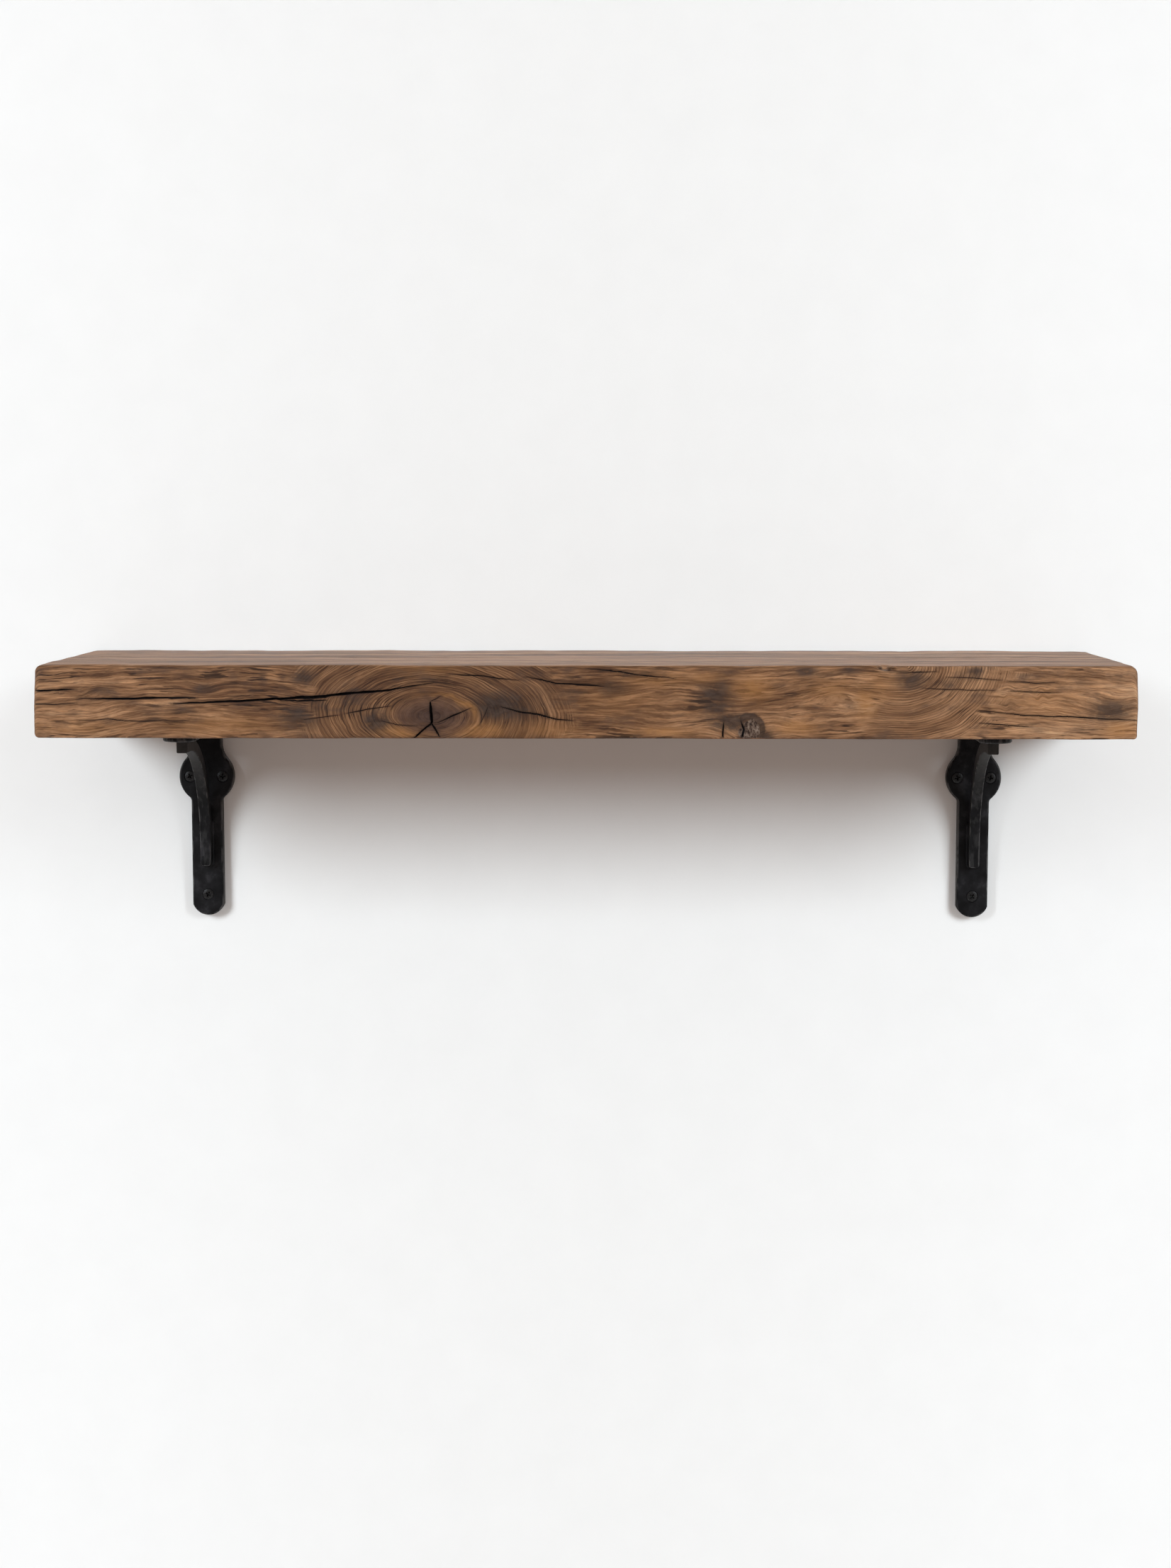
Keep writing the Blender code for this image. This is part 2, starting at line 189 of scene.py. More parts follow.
WARM_PATCHES = [
    (-151, -56, 18, 5, 0.9), (-84, -54, 20, 6, 1.0), (-30, -54, 28, 7, 0.5), (-131, -3, 34, 5, 0.45),
    (139, -19, 16, 10, 0.95), (100, -10, 16, 5, 0.6), (176, -51, 17, 6, 0.9), (64, -55, 24, 4, 0.9),
    (60, -12, 30, 7, 0.5), (205, -20, 25, 9, 0.5), (232, -30, 9, 14, 0.8), (245, -18, 14, 12, 0.5),
    (443, -53, 14, 7, 0.9), (-300, -50, 45, 8, 0.45), (-420, -52, 40, 6, 0.35), (25, -30, 40, 16, 0.3),
    (380, -30, 40, 12, 0.35),
]
# the same, with the growth rings' lift in place of the amount
RING_LIFTS = [
    (*LOW_KNOT, 17, 13, -6), (211, -23.5, 20, 5, 2.4), (176, -50, 16, 8, -1.5), (-399, -22, 14, 5, 2),
    (-314, -19, 12, 6, -2.5), (-357, -45, 12, 4, 1.5), (430, -37, 24, 12, -4),
]


def along_path(u, v, path):
    """Distance to a path of straight runs, and how far along it the nearest point lies, 0 to 1."""
    path = np.asarray(path, float)
    runs = np.hypot(*np.diff(path, axis=0).T)
    before = np.concatenate([[0], np.cumsum(runs)])
    nearest, share = np.full(u.shape, np.inf), np.zeros(u.shape)
    for start, end, length, past in zip(path, path[1:], runs, before):
        step = (end - start) / length
        t = np.clip((u - start[0]) * step[0] + (v - start[1]) * step[1], 0, length)
        apart = np.hypot(u - start[0] - step[0] * t, v - start[1] - step[1] * t)
        closer = apart < nearest
        nearest = np.where(closer, apart, nearest)
        share = np.where(closer, (past + t) / before[-1], share)
    return nearest, share


def crack_width(share, tapers, widest, here):
    """How wide a crack is along its length, pinched to nothing at its tapered ends."""
    width = np.full(share.shape, widest)
    for tapered, from_end in zip(tapers, (share, 1 - share)):
        if tapered:
            width = width * np.minimum(1, from_end * 3.2) ** 0.7
    return width * (1 + 0.3 * noise(here, 9, 15)) + 0.1


def deepen(marks, places, **values):
    """Raise each named mark at some places to the value given, where it is lower."""
    for name, value in values.items():
        marks[name][places] = np.maximum(marks[name][places], value)


def add_crack(u, v, chosen, crack, marks, seed):
    """Deepen the chosen points that lie in a crack, and darken those beside it."""
    path, widest, deepest, tapers = crack
    spread = np.asarray(path, float)
    low, high = spread.min(axis=0) - 12, spread.max(axis=0) + 12
    near = chosen & (u > low[0]) & (u < high[0]) & (v > low[1]) & (v < high[1])
    places = np.flatnonzero(near)
    here = np.column_stack([u[places], v[places], np.full(len(places), seed * 7.3)])
    shift_v = 0.45 * noise(here, 7, 13) + 0.25 * noise(here, 2.3, 14)
    apart, share = along_path(u[places], v[places] + shift_v, path)
    width = crack_width(share, tapers, widest, here)
    inside = smooth(0.62, 0.2, apart / width)
    sink = inside * deepest * np.minimum(1, width / widest)
    deepen(marks, places, opening=inside, depth=sink, grime=bell(apart, 0, width * 1.6 + 0.5))


def split_grid(grid, shift, chosen, crack, steep, marks, seed):
    """Bring the nearest grid lines onto a crack's lips and its bottom, so that it is cut cleanly.

    A crack that runs along the grain takes rows; a steep one takes columns.
    """
    path, widest, deepest, tapers = crack
    ahead, across = (2, 0) if steep else (0, 2)
    spacing = FINE_COLUMN_STEP if steep else ROW_STEP
    path = np.asarray(path, float)[:, ::-1] if steep else np.asarray(path, float)
    if path[0, 0] > path[-1, 0]:
        path, tapers = path[::-1], tapers[::-1]
    start, end = path[0, 0], path[-1, 0]
    run = grid[:, ahead]
    middle = np.interp(run, path[:, 0], path[:, 1])
    near = chosen & (run > start - 4) & (run < end + 4) & (np.abs(grid[:, across] - middle) < 9 * spacing)
    places = np.flatnonzero(near)
    run, middle = run[places], middle[places]
    here = np.column_stack([run, np.zeros(len(run)), np.full(len(run), seed * 7.3)])
    middle = middle + 0.3 * noise(here, 11, 13) + 0.1 * noise(here, 3.5, 14)
    share = np.clip((run - start) / (end - start), 0, 1)
    width = crack_width(share, tapers, widest, here)
    apart = grid[places, across] - middle
    line = np.rint(apart / spacing)
    side, count = np.sign(line), np.abs(line)
    # line 0 becomes the bottom, line 1 the lip, line 2 the shoulder; the next ones are spread out
    lip, shoulder = width / 2, width / 2 + LIP_TO_SHOULDER
    pulled = side * shoulder - (apart + (side * 2 - line) * spacing)
    target = np.where(count == 1, side * lip, side * shoulder)
    target = np.where(count == 0, 0, target)
    target = np.where(count > 2, apart + pulled * np.clip(8 - count, 0, 6) / 6, target)
    outside = np.maximum(start - run, run - end)
    strength = smooth(4, 0, outside)
    shift[places, across] += (target - apart) * strength
    within = outside <= 0
    sink = within * np.where(count == 0, deepest * np.minimum(1, width / widest), 0)
    grime = strength * bell(target, 0, width * 0.9 + 0.5)
    deepen(marks, places, opening=within * (count <= 1), depth=sink, grime=grime)


def straight_rings(points):
    """Each point's place across the beam's own growth rings, in millimetres of ring."""
    x, y, z = points.T
    pith_y, pith_z = 60, 180
    rings = np.hypot(y - pith_y, z - pith_z)
    rings = rings + 6 * noise(points, (260, 160, 90), 21) + 2.6 * noise(points, (70, 60, 24), 22)
    near_front = smooth(40, 4, y - BOARD_FRONT)
    for across, up, wide, high, lift in RING_LIFTS:
        rings = rings + lift * spot(x, z, (across, up), (wide, high)) * near_front
    ripple = smooth(338, 352, x) * smooth(400, 384, x) * smooth(-12, -22, z) * smooth(-46, -36, z)
    ripple = ripple * (0.35 + 0.9 * noise(points, (14, 14, 7), 28))
    return rings + ripple * near_front * 0.7 * np.sin(x / 2.1 + z / 9 + noise(points, 16, 27))


def bent_rings(points):
    """Rings that wrap round the big knot and bow to the right of it, and how much they show."""
    x, y, z = points.T
    deep = smooth(60, 8, y - BOARD_FRONT)
    reach = np.hypot((x - BIG_KNOT[0]) / 1.9, z - BIG_KNOT[1] + 0.03 * (x - BIG_KNOT[0]))
    wrapped = (reach + 1.3 * noise(points, (34, 30, 17), 24) + 0.5 * noise(points, (12, 20, 8), 26)) * 1.1
    away = np.abs(x - BIG_KNOT[0]) + 11 * noise(points, (60, 60, 22), 25)
    past = np.maximum(0, x - ARCS[0])
    before = np.maximum(0, ARCS[0] - x)
    bowed = np.hypot(0.8 * past + 7 * np.tanh(before / 40), z - ARCS[1])
    bowed = bowed + 1.5 * noise(points, (26, 30, 18), 23)
    in_knot = smooth(126, 86, away) * deep
    ragged = x + 16 * noise(points, (40, 40, 9), 34)
    in_arcs = smooth(214, 252, ragged + 0.35 * z) * smooth(376, 318, ragged - 0.4 * z) * deep
    return np.where(x < 60, wrapped, bowed), np.maximum(in_knot, in_arcs)


# ---- meshes


def link_new(name, data):
    made = bpy.data.objects.new(name, data)
    bpy.context.scene.collection.objects.link(made)
    return made


def mesh_from_arrays(name, points, faces):
    """A mesh object from points in millimetres and an array of faces with equal corners."""
    mesh = bpy.data.meshes.new(name)
    corners = faces.shape[1]
    mesh.vertices.add(len(points))
    mesh.vertices.foreach_set("co", np.ascontiguousarray(points * MM, np.float32).ravel())
    mesh.loops.add(faces.size)
    mesh.loops.foreach_set("vertex_index", np.ascontiguousarray(faces, np.int32).ravel())
    mesh.polygons.add(len(faces))
    mesh.polygons.foreach_set("loop_start", np.arange(0, faces.size, corners, dtype=np.int32))
    mesh.update(calc_edges=True)
    mesh.validate()
    mesh.shade_smooth()
    return link_new(name, mesh)


def set_attribute(made, name, values):
    attribute = made.data.attributes.new(name, "FLOAT", "POINT")
    attribute.data.foreach_set("value", np.ascontiguousarray(values, np.float32))


def grid_lines(low, high, step, fine_spans=(), fine=1.0):
    """Places from low to high, close together at both ends and, by `fine`, in the fine spans."""
    ease = np.array([0, 0.25, 0.6, 1.1, 1.7, 2.5, 3.4, 4.4])
    places = [low + ease, high - ease]
    here = low + ease[-1] + step
    while here < high - ease[-1] - step / 2:
        places.append([here])
        here += fine if any(a - step < here < b for a, b in fine_spans) else step
    return np.unique(np.round(np.concatenate(places), 4))


def box_surface(xs, ys, zs):
    """Points and faces of a box's surface on a grid, faces outward."""
    shape = (len(xs), len(ys), len(zs))
    shell = np.ones(shape, bool)
    shell[1:-1, 1:-1, 1:-1] = False
    number = np.full(shape, -1)
    number[shell] = np.arange(shell.sum())
    points = np.stack(np.meshgrid(xs, ys, zs, indexing="ij"), -1)[shell]

    def sheet(grid, turned):
        corners = [grid[:-1, :-1], grid[1:, :-1], grid[1:, 1:], grid[:-1, 1:]]
        faces = np.stack([c.ravel() for c in corners], -1)
        return faces[:, ::-1] if turned else faces

    faces = [
        sheet(number[0], True),
        sheet(number[-1], False),
        sheet(number[:, 0], False),
        sheet(number[:, -1], True),
        sheet(number[:, :, 0], True),
        sheet(number[:, :, -1], False),
    ]
    return points, np.concatenate(faces)


ROW_STEP, COLUMN_STEP, FINE_COLUMN_STEP = 0.72, 1.6, 0.8
DEPTH_STEP, FINE_DEPTH_STEP = 5.5, 0.9
FINE_COLUMNS = [(-150, -72), (108, 152), (236, 264)]  # the two knots and the chip
FINE_DEPTHS = [(-120, -102), (-69, -56)]  # the cracks along the top
LIP_TO_SHOULDER = 0.16
END_LEAN = 1.1  # how much further out the left end's foot stands
BENT_SPACING = 1.9  # between dark rings round the knot and in the arcs


def cracked_grid():
    """Points, faces and marks of the board's box, with its grid lines brought onto the cracks."""
    xs = grid_lines(-HALF_BOARD, HALF_BOARD, COLUMN_STEP, FINE_COLUMNS, FINE_COLUMN_STEP)
    ys = grid_lines(BOARD_FRONT, 0, DEPTH_STEP, FINE_DEPTHS, FINE_DEPTH_STEP)
    zs = grid_lines(UNDERSIDE, 0, ROW_STEP)
    grid, faces = box_surface(xs, ys, zs)
    x, y, z = grid.T
    marks = {name: np.zeros(len(grid)) for name in ("opening", "depth", "grime")}
    shift = np.zeros(grid.shape)
    for seed, (face, *crack) in enumerate(CRACKS):
        if face == TOP:
            add_crack(x, y, z == zs[-1], crack, marks, seed)
        else:
            split_grid(grid, shift, y == ys[0], crack, face == STEEP, marks, seed)
    for side, cracks in END_CRACKS.items():
        for seed, crack in enumerate(cracks):
            add_crack(y, z, x == side * HALF_BOARD, crack, marks, 50 + seed)
    return grid + shift, faces, marks


def edge_radius(points):
    """How far the board's edges are worn round: most at the ends, at their upper corners."""
    x, _, z = points.T
    left, right = smooth(-HALF_BOARD + 30, -HALF_BOARD, x), smooth(HALF_BOARD - 30, HALF_BOARD, x)
    upper = smooth(-35, -4, z)
    radius = 2.7 + 0.6 * noise(points, (34, 40, 30), 1) + 0.3 * noise(points, (11, 14, 11), 2)
    radius += 4.6 * right * upper
    radius += 2.4 * left * upper
    radius += 1.2 * left + 0.8 * right
    return radius


def patches(x, z, table):
    """The strongest of a table's soft patches at each place."""
    strongest = np.zeros(len(x))
    for across, up, wide, high, amount in table:
        strongest = np.maximum(strongest, amount * spot(x, z, (across, up), (wide, high)))
    return strongest


def knot_marks(points):
    """The big knot's heart, from its middle out, and the warm rim round it."""
    x, _, z = points.T
    heart = np.hypot((x - BIG_KNOT[0]) / BIG_KNOT_HEART[0], (z - BIG_KNOT[1]) / BIG_KNOT_HEART[1])
    heart += 0.13 * noise(points, 13, 9) + 0.07 * noise(points, 5, 10)
    rim = bell(heart, 1.12, 0.12) * (0.75 + 0.9 * noise(points, 19, 32))
    return heart, rim * smooth(-48, -32, z + 0.12 * (x - BIG_KNOT[0]))


def board():
    """The beam with worn edges, drying cracks, two knots and a chipped arris."""
    points, faces, marks = cracked_grid()
    x, y, z = points.T
    radius = edge_radius(points)[:, None]
    core = np.clip(points, BOARD_LOW + radius, BOARD_HIGH - radius)
    outward = points - core
    outward /= np.linalg.norm(outward, axis=1)[:, None]
    rounded = core + outward * radius
    rounded[:, 0] -= END_LEAN * smooth(-HALF_BOARD + 60, -HALF_BOARD, x) * z / UNDERSIDE

    rings = straight_rings(rounded)
    bent, bending = bent_rings(rounded)
    front = smooth(0.2, 0.8, -outward[:, 1])
    figure = bending * front
    chip = spot(x, y - BOARD_FRONT - z, (CHIP_X, 0), (8, 8)) * smooth(-9, -2, z)
    chip = smooth(0.25, 0.9, chip + 0.2 * noise(points, (4, 4, 3), 3))
    core_gap = np.hypot((x - LOW_KNOT[0] - 6) / 8.5, (z - LOW_KNOT[1] - 4) / 10.5)
    knot = front * smooth(1.1, 0.85, core_gap + 0.2 * noise(points, 5, 5))
    halo = front * bell(core_gap, 1.25, 0.3)
    sink = marks["depth"] + CHIP_DEPTH * chip
    sink += knot * (0.8 + 0.8 * noise(points, (2.4, 3, 4), 4)) + 0.7 * halo
    swell = 0.3 * noise(points, (46, 60, 30), 6) + 0.2 * noise(points, (17, 30, 9), 7)
    ribs = 0.17 * noise(np.column_stack([x / 30, y / 30, rings / 1.3]), 1, 8)
    bent_ribs = 0.11 * np.cos(bent * 2 * np.pi / BENT_SPACING)
    swell += (ribs + (bent_ribs - ribs) * figure) * (0.4 + 0.6 * front)
    made = mesh_from_arrays("oak_board", rounded + outward * (swell - sink)[:, None], faces)

    opening = marks["opening"]
    heart, rim = knot_marks(points)
    tone = 0.25 * smooth(-250, -420, x) - 0.3 * smooth(185, 70, np.abs(x + 135))
    tone += 0.4 * smooth(100, 200, x) + 0.95 * smooth(240, 430, x)
    # the top's back edge, against the wall, is darkened here as a painted contact shadow
    grime = np.maximum(marks["grime"], 0.9 * smooth(-10, -2, y) * smooth(-6, -2, z))
    chip_edge = bell(chip, 0.45, 0.22) * smooth(0.05, 0.2, chip)
    grime = np.maximum(grime, 1.5 * chip_edge * (0.7 + noise(points, (3, 3, 3), 31)))
    burnt = 1.25 * (halo * (1 + 0.9 * noise(points, 6, 33)))
    attributes = {
        "ring": rings,
        "bent": bent,
        "opening": opening,
        "grime": grime * (1 - opening),
        "dark": np.maximum(patches(x, z, DARK_PATCHES), burnt) * front,
        "warm": np.maximum(patches(x, z, WARM_PATCHES), 0.8 * rim) * front,
        "tone": tone * front,
        "figure": figure,
        "heart": smooth(1.2, 0.72, heart) * front,
        "knot": knot,
        "top": smooth(0.5, 0.9, outward[:, 2]),
        "end": smooth(0.5, 0.9, np.abs(outward[:, 0])),
    }
    for name, values in attributes.items():
        set_attribute(made, name, values)
    return made


# ---- iron

STRAP_THICKNESS = 10.0
STRAP_ROUND = 1.9  # eased edges of the strap's inner face
STRAP_BACK_ROUND = 0.7
LEG_GAP = 0.3
BEND_INNER_RADIUS = 4.0
BEND_STEPS = 14
STRAP_HALF = 14.25
BOSS_RADIUS, BOSS_CENTRE = 25.0, 54.5
BOSS_FILLETS = (20.0, 5.0)
TIP_CROWN = 10.0
WALL_LEG = UNDERSIDE - STRAP_LOW[2]
SHELF_LEG = -STRAP_LOW[1]
# bare metal, brightened further as a painted edge highlight, at each point of strap_section: the back
# edge's rounding, then the inner edge's
SECTION_WEAR_AND_HIGHLIGHT = (0, 0.35, 0.35, 0.35, 0.35, 1, 1, 1, 1, 0)


def side_name(side):
    """The bracket's side; side is its x."""
    return "right" if side > 0 else "left"


def skin(mesh, rings, capped=True):
    """Faces between rings of vertices and, when capped, over the first and the last."""
    for here, after in zip(rings, rings[1:]):
        for i in range(len(here)):
            j = (i + 1) % len(here)
            mesh.faces.new((here[i], here[j], after[j], after[i]))
    if capped:
        mesh.faces.new(rings[0])
        mesh.faces.new(rings[-1])


def object_from(name, mesh, smooth_angle=35):
    """An object from a closed bmesh, smooth but for edges steeper than the angle in degrees."""
    bmesh.ops.recalc_face_normals(mesh, faces=mesh.faces)
    data = bpy.data.meshes.new(name)
    mesh.to_mesh(data)
    mesh.free()
    data.shade_smooth()
    data.set_sharp_from_angle(angle=radians(smooth_angle))
    return link_new(name, data)


def cut_out(made, cutter, smooth_angle=35):
    """Cut one object out of another and remove the cutter."""
    cut = made.modifiers.new("cut", "BOOLEAN")
    cut.operation = "DIFFERENCE"
    cut.solver = "EXACT"
    cut.object = cutter
    graph = bpy.context.evaluated_depsgraph_get()
    made.data = bpy.data.meshes.new_from_object(made.evaluated_get(graph))
    made.modifiers.clear()
    bpy.data.objects.remove(cutter)
    made.data.set_sharp_from_angle(angle=radians(smooth_angle))


def add_weighted_normals(made):
    """Flat faces stay flat where rounded edges meet them."""
    modifier = made.modifiers.new("normals", "WEIGHTED_NORMAL")
    modifier.keep_sharp = True
    modifier.weight = 80


def arc(centre, radius, start, end, step=0.055):
    """An arc's points, each with its outward direction."""
    count = max(3, ceil(abs(end - start) / step))
    turns = [(cos(a), sin(a)) for a in np.linspace(start, end, count + 1)]
    return [(centre[0] + radius * u, centre[1] + radius * w, u, w) for u, w in turns]


def hollow(points):
    """An arc's points with their directions turned round, for an inside corner."""
    return [(u, w, -nu, -nw) for u, w, nu, nw in points]


def leg_outline(start, length):
    """(distance, half width, outward direction) from the bend to the tip of a leg."""
    reach = [sqrt((BOSS_RADIUS + f) ** 2 - (STRAP_HALF + f) ** 2) for f in BOSS_FILLETS]
    turn = [atan2(STRAP_HALF + f, r) for f, r in zip(BOSS_FILLETS, reach)]
    crown = (STRAP_HALF**2 + TIP_CROWN**2) / (2 * TIP_CROWN)
    crown_turn = atan2(STRAP_HALF, crown - TIP_CROWN)
    points = [(start, STRAP_HALF, 0, 1)]
    first = (BOSS_CENTRE - reach[0], STRAP_HALF + BOSS_FILLETS[0])
    points += hollow(arc(first, BOSS_FILLETS[0], -pi / 2, -turn[0]))
    points += arc((BOSS_CENTRE, 0), BOSS_RADIUS, pi - turn[0], turn[1])[1:]
    second = (BOSS_CENTRE + reach[1], STRAP_HALF + BOSS_FILLETS[1])
    points += hollow(arc(second, BOSS_FILLETS[1], pi + turn[1], pi * 1.5))[1:]
    points += arc((length - crown, 0), crown, crown_turn, 0)[:-1]
    return points


def strap_section(half_width, along, across):
    """One side's points round the strap's edge: (along the leg, out to the side, depth)."""
    corner = np.radians([0, 22.5, 45, 67.5, 90])
    points = []
    for a in corner[::-1]:
        off = STRAP_BACK_ROUND * (1 - cos(a))
        points.append((off, STRAP_BACK_ROUND * (1 - sin(a))))
    for a in corner:
        off = STRAP_ROUND * (1 - cos(a))
        points.append((off, STRAP_THICKNESS - STRAP_ROUND * (1 - sin(a))))
    return [(-along * off, half_width - across * off, depth) for off, depth in points]


def strap_shape(side):
    """The bent strap without its holes; side is the bracket's x."""
    mesh = bmesh.new()
    wear_and_highlight = mesh.verts.layers.float.new("edge")
    corner = Vector((side, 0, UNDERSIDE))
    down, forward, gap = Vector((0, 0, -1)), Vector((0, -1, 0)), Vector((0, 0, -LEG_GAP))
    last = len(SECTION_WEAR_AND_HIGHLIGHT) - 1

    def ring(base, run, inward, half_width, along, across):
        """The strap's section: the right side's points, then the left side's the other way."""
        half = strap_section(half_width, along, across)
        order = [(1, i) for i in range(last + 1)] + [(-1, i) for i in range(last, -1, -1)]
        made = []
        for sign, index in order:
            ahead, out, depth = half[index]
            place = base + run * ahead + Vector((sign * out, 0, 0)) + inward * depth
            vert = mesh.verts.new((corner + place) * MM)
            vert[wear_and_highlight] = SECTION_WEAR_AND_HIGHLIGHT[index]
            made.append(vert)
        return made

    outer = BEND_INNER_RADIUS + STRAP_THICKNESS
    rings = []
    for d, w, along, across in reversed(leg_outline(outer + LEG_GAP, WALL_LEG)):
        rings.append(ring(down * d, down, forward, w, along, across))
    centre = Vector((0, -outer, -LEG_GAP - outer))
    for i in range(1, BEND_STEPS):
        turn = pi / 2 * i / BEND_STEPS
        outward = Vector((0, cos(turn), sin(turn)))
        run = Vector((0, sin(turn), -cos(turn)))
        rings.append(ring(centre + outward * outer, run, -outward, STRAP_HALF, 0, 1))
    for d, w, along, across in leg_outline(outer, SHELF_LEG):
        rings.append(ring(forward * d + gap, forward, down, w, along, across))
    skin(mesh, rings, capped=False)

    for end, base, run, inward, length in (
        (rings[0], Vector((0, 0, 0)), down, forward, WALL_LEG),
        (rings[-1], gap, forward, down, SHELF_LEG),
    ):
        tip = []
        for (off, _, depth), worn in zip(strap_section(0, 1, 0), SECTION_WEAR_AND_HIGHLIGHT):
            vert = mesh.verts.new((corner + base + run * (length + off) + inward * depth) * MM)
            vert[wear_and_highlight] = float(worn == 1)
            tip.append(vert)
        for i in range(last):
            mesh.faces.new((end[i], end[i + 1], tip[i + 1], tip[i]))
            mesh.faces.new((end[-1 - i], end[-2 - i], tip[i + 1], tip[i]))
        mesh.faces.new((end[0], end[-1], tip[0]))
        mesh.faces.new((end[last], end[last + 1], tip[last]))
    return mesh


def turned(mesh, profile, place, segments=48):
    """Add a turned solid; profile is (radius, height) from one flat end to the other."""
    rings = []
    turns = np.linspace(0, 2 * pi, segments, endpoint=False)
    for radius, height in profile:
        points = [Vector((radius * cos(t), radius * sin(t), height)) for t in turns]
        rings.append([mesh.verts.new(place @ (p * MM)) for p in points])
    skin(mesh, rings)


HEAD_RADIUS, SHANK_RADIUS, HEAD_SINK = 4.9, 2.4, 0.3
SEAT_CLEARANCE, HOLE_CLEARANCE = 0.42, 0.35


def screw_places(side):
    """(name, matrix, length) of one bracket's screws, read from the CAD screws' boxes."""
    places = []
    for leg, axis, turn in (("wall", 1, pi / 2), ("shelf", 2, pi)):
        for letter in "abc":
            name = f"{side_name(side)}_{leg}_screw_{letter}"
            low, high = box_mm(name)
            at = (low + high) / 2
            at[axis] = low[axis]
            place = Matrix.Translation(Vector(at) * MM) @ Matrix.Rotation(turn, 4, "X")
            places.append((name, place, high[axis] - low[axis]))
    return places


def strap(side):
    """One bracket's strap with its six countersunk holes."""
    prefix = side_name(side)
    made = object_from(prefix + "_iron_strap", strap_shape(side))
    holes = bmesh.new()
    mouth, bore = HEAD_RADIUS + SEAT_CLEARANCE, SHANK_RADIUS + HOLE_CLEARANCE
    above = HEAD_SINK + 1
    profile = [(mouth + above, above), (bore, bore - mouth), (bore, -STRAP_THICKNESS - 2)]
    for _, place, _ in screw_places(side):
        turned(holes, profile, place)
    cut_out(made, object_from("hole_tool", holes))
    add_weighted_normals(made)
    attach(made, "root")
    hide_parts(prefix + "_strap")
    return made


BAR_HALF = 4.75
BAR_DEPTH = 11.0
BAR_ROUND = 1.0
NOSE_RUN, FOOT_RUN = 16.5, 19.5
NOSE_INSETS = (0.45, 0.12)  # the sawn front end is only broken at its edges
FOOT_INSETS = (0.1, 0.3, 0.75, 1.4, 2.2)  # the foot is rounded off
DEPTH_INSET_LIMIT = 0.45


def brace_path():
    """(point, outward direction) along the bar's centre line, front end to lower end."""
    nose, foot = -BRACE_LOW[1], UNDERSIDE - BRACE_LOW[2]
    level = UNDERSIDE - BRACE_HIGH[2] + BAR_DEPTH / 2
    upright = -BRACE_HIGH[1] + BAR_DEPTH / 2
    turn_y, turn_z = nose - NOSE_RUN, foot - FOOT_RUN
    reach_y, reach_z = turn_y - upright, turn_z - level
    path = [(Vector((0, -nose + d, -level)), Vector((0, 0, 1))) for d in (0, 0.35, 0.9, 8)]
    steps = 56
    for i in range(steps + 1):
        t = pi / 2 * i / steps
        point = Vector((0, -turn_y + reach_y * sin(t), -turn_z + reach_z * cos(t)))
        path.append((point, Vector((0, reach_z * sin(t), reach_y * cos(t))).normalized()))
    for d in (10, 2.6, 1.5, 0.7, 0.2, 0):
        path.append((Vector((0, -upright, -foot + d)), Vector((0, 1, 0))))
    return path


def bar_section(narrower, shallower):
    """The bar's section with rounded corners: (across, depth, wear with a painted edge highlight)."""
    half_w, half_d = BAR_HALF - narrower, BAR_DEPTH / 2 - shallower
    points = []
    for quarter in range(4):
        centre_x = (half_w - BAR_ROUND) * (1 if quarter in (0, 3) else -1)
        centre_d = (half_d - BAR_ROUND) * (1 if quarter in (0, 1) else -1)
        for step in range(5):
            angle = (quarter + step / 4) * pi / 2
            place = (centre_x + BAR_ROUND * cos(angle), centre_d + BAR_ROUND * sin(angle))
            points.append((*place, 1.0 if 0 < step < 4 else 0.55))
    return points


def brace(side):
    """The square bar, bent through a quarter turn between the two legs."""
    prefix = side_name(side)
    mesh = bmesh.new()
    wear_and_highlight = mesh.verts.layers.float.new("edge")
    painted_reflection = mesh.verts.layers.float.new("painted_reflection")
    corner = Vector((side, 0, UNDERSIDE))
    path = brace_path()
    last = len(path) - 1
    plain = len(path) - len(NOSE_INSETS) - len(FOOT_INSETS)
    insets = [*NOSE_INSETS, *[0] * plain, *FOOT_INSETS]
    rings = []
    for index, ((point, outward), inset) in enumerate(zip(path, insets)):
        ring = []
        for across, depth, worn in bar_section(inset, min(inset, DEPTH_INSET_LIMIT)):
            place = corner + point + Vector((across, 0, 0)) - outward * depth
            vert = mesh.verts.new(place * MM)
            vert[wear_and_highlight] = 1.0 if index in (0, last - 1, last) else worn
            # a painted reflection: the bar's outer face and front end face are paler, fading from the
            # front end towards the foot
            outer_face = index < 2 or depth > BAR_DEPTH / 2 - 0.05 * BAR_ROUND
            vert[painted_reflection] = float(smooth(0.72, 0.12, index / len(path))) * outer_face
            ring.append(vert)
        rings.append(ring)
    skin(mesh, rings)
    made = object_from(prefix + "_iron_brace", mesh, 50)
    add_weighted_normals(made)
    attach(made, "root")
    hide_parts(prefix + "_brace")
    return made


WELD_SIZE = 2.5
WELD_STEPS_PER_MM = 1.6
FOOT_WELD_RUN, NOSE_WELD_RUN = 41, 38


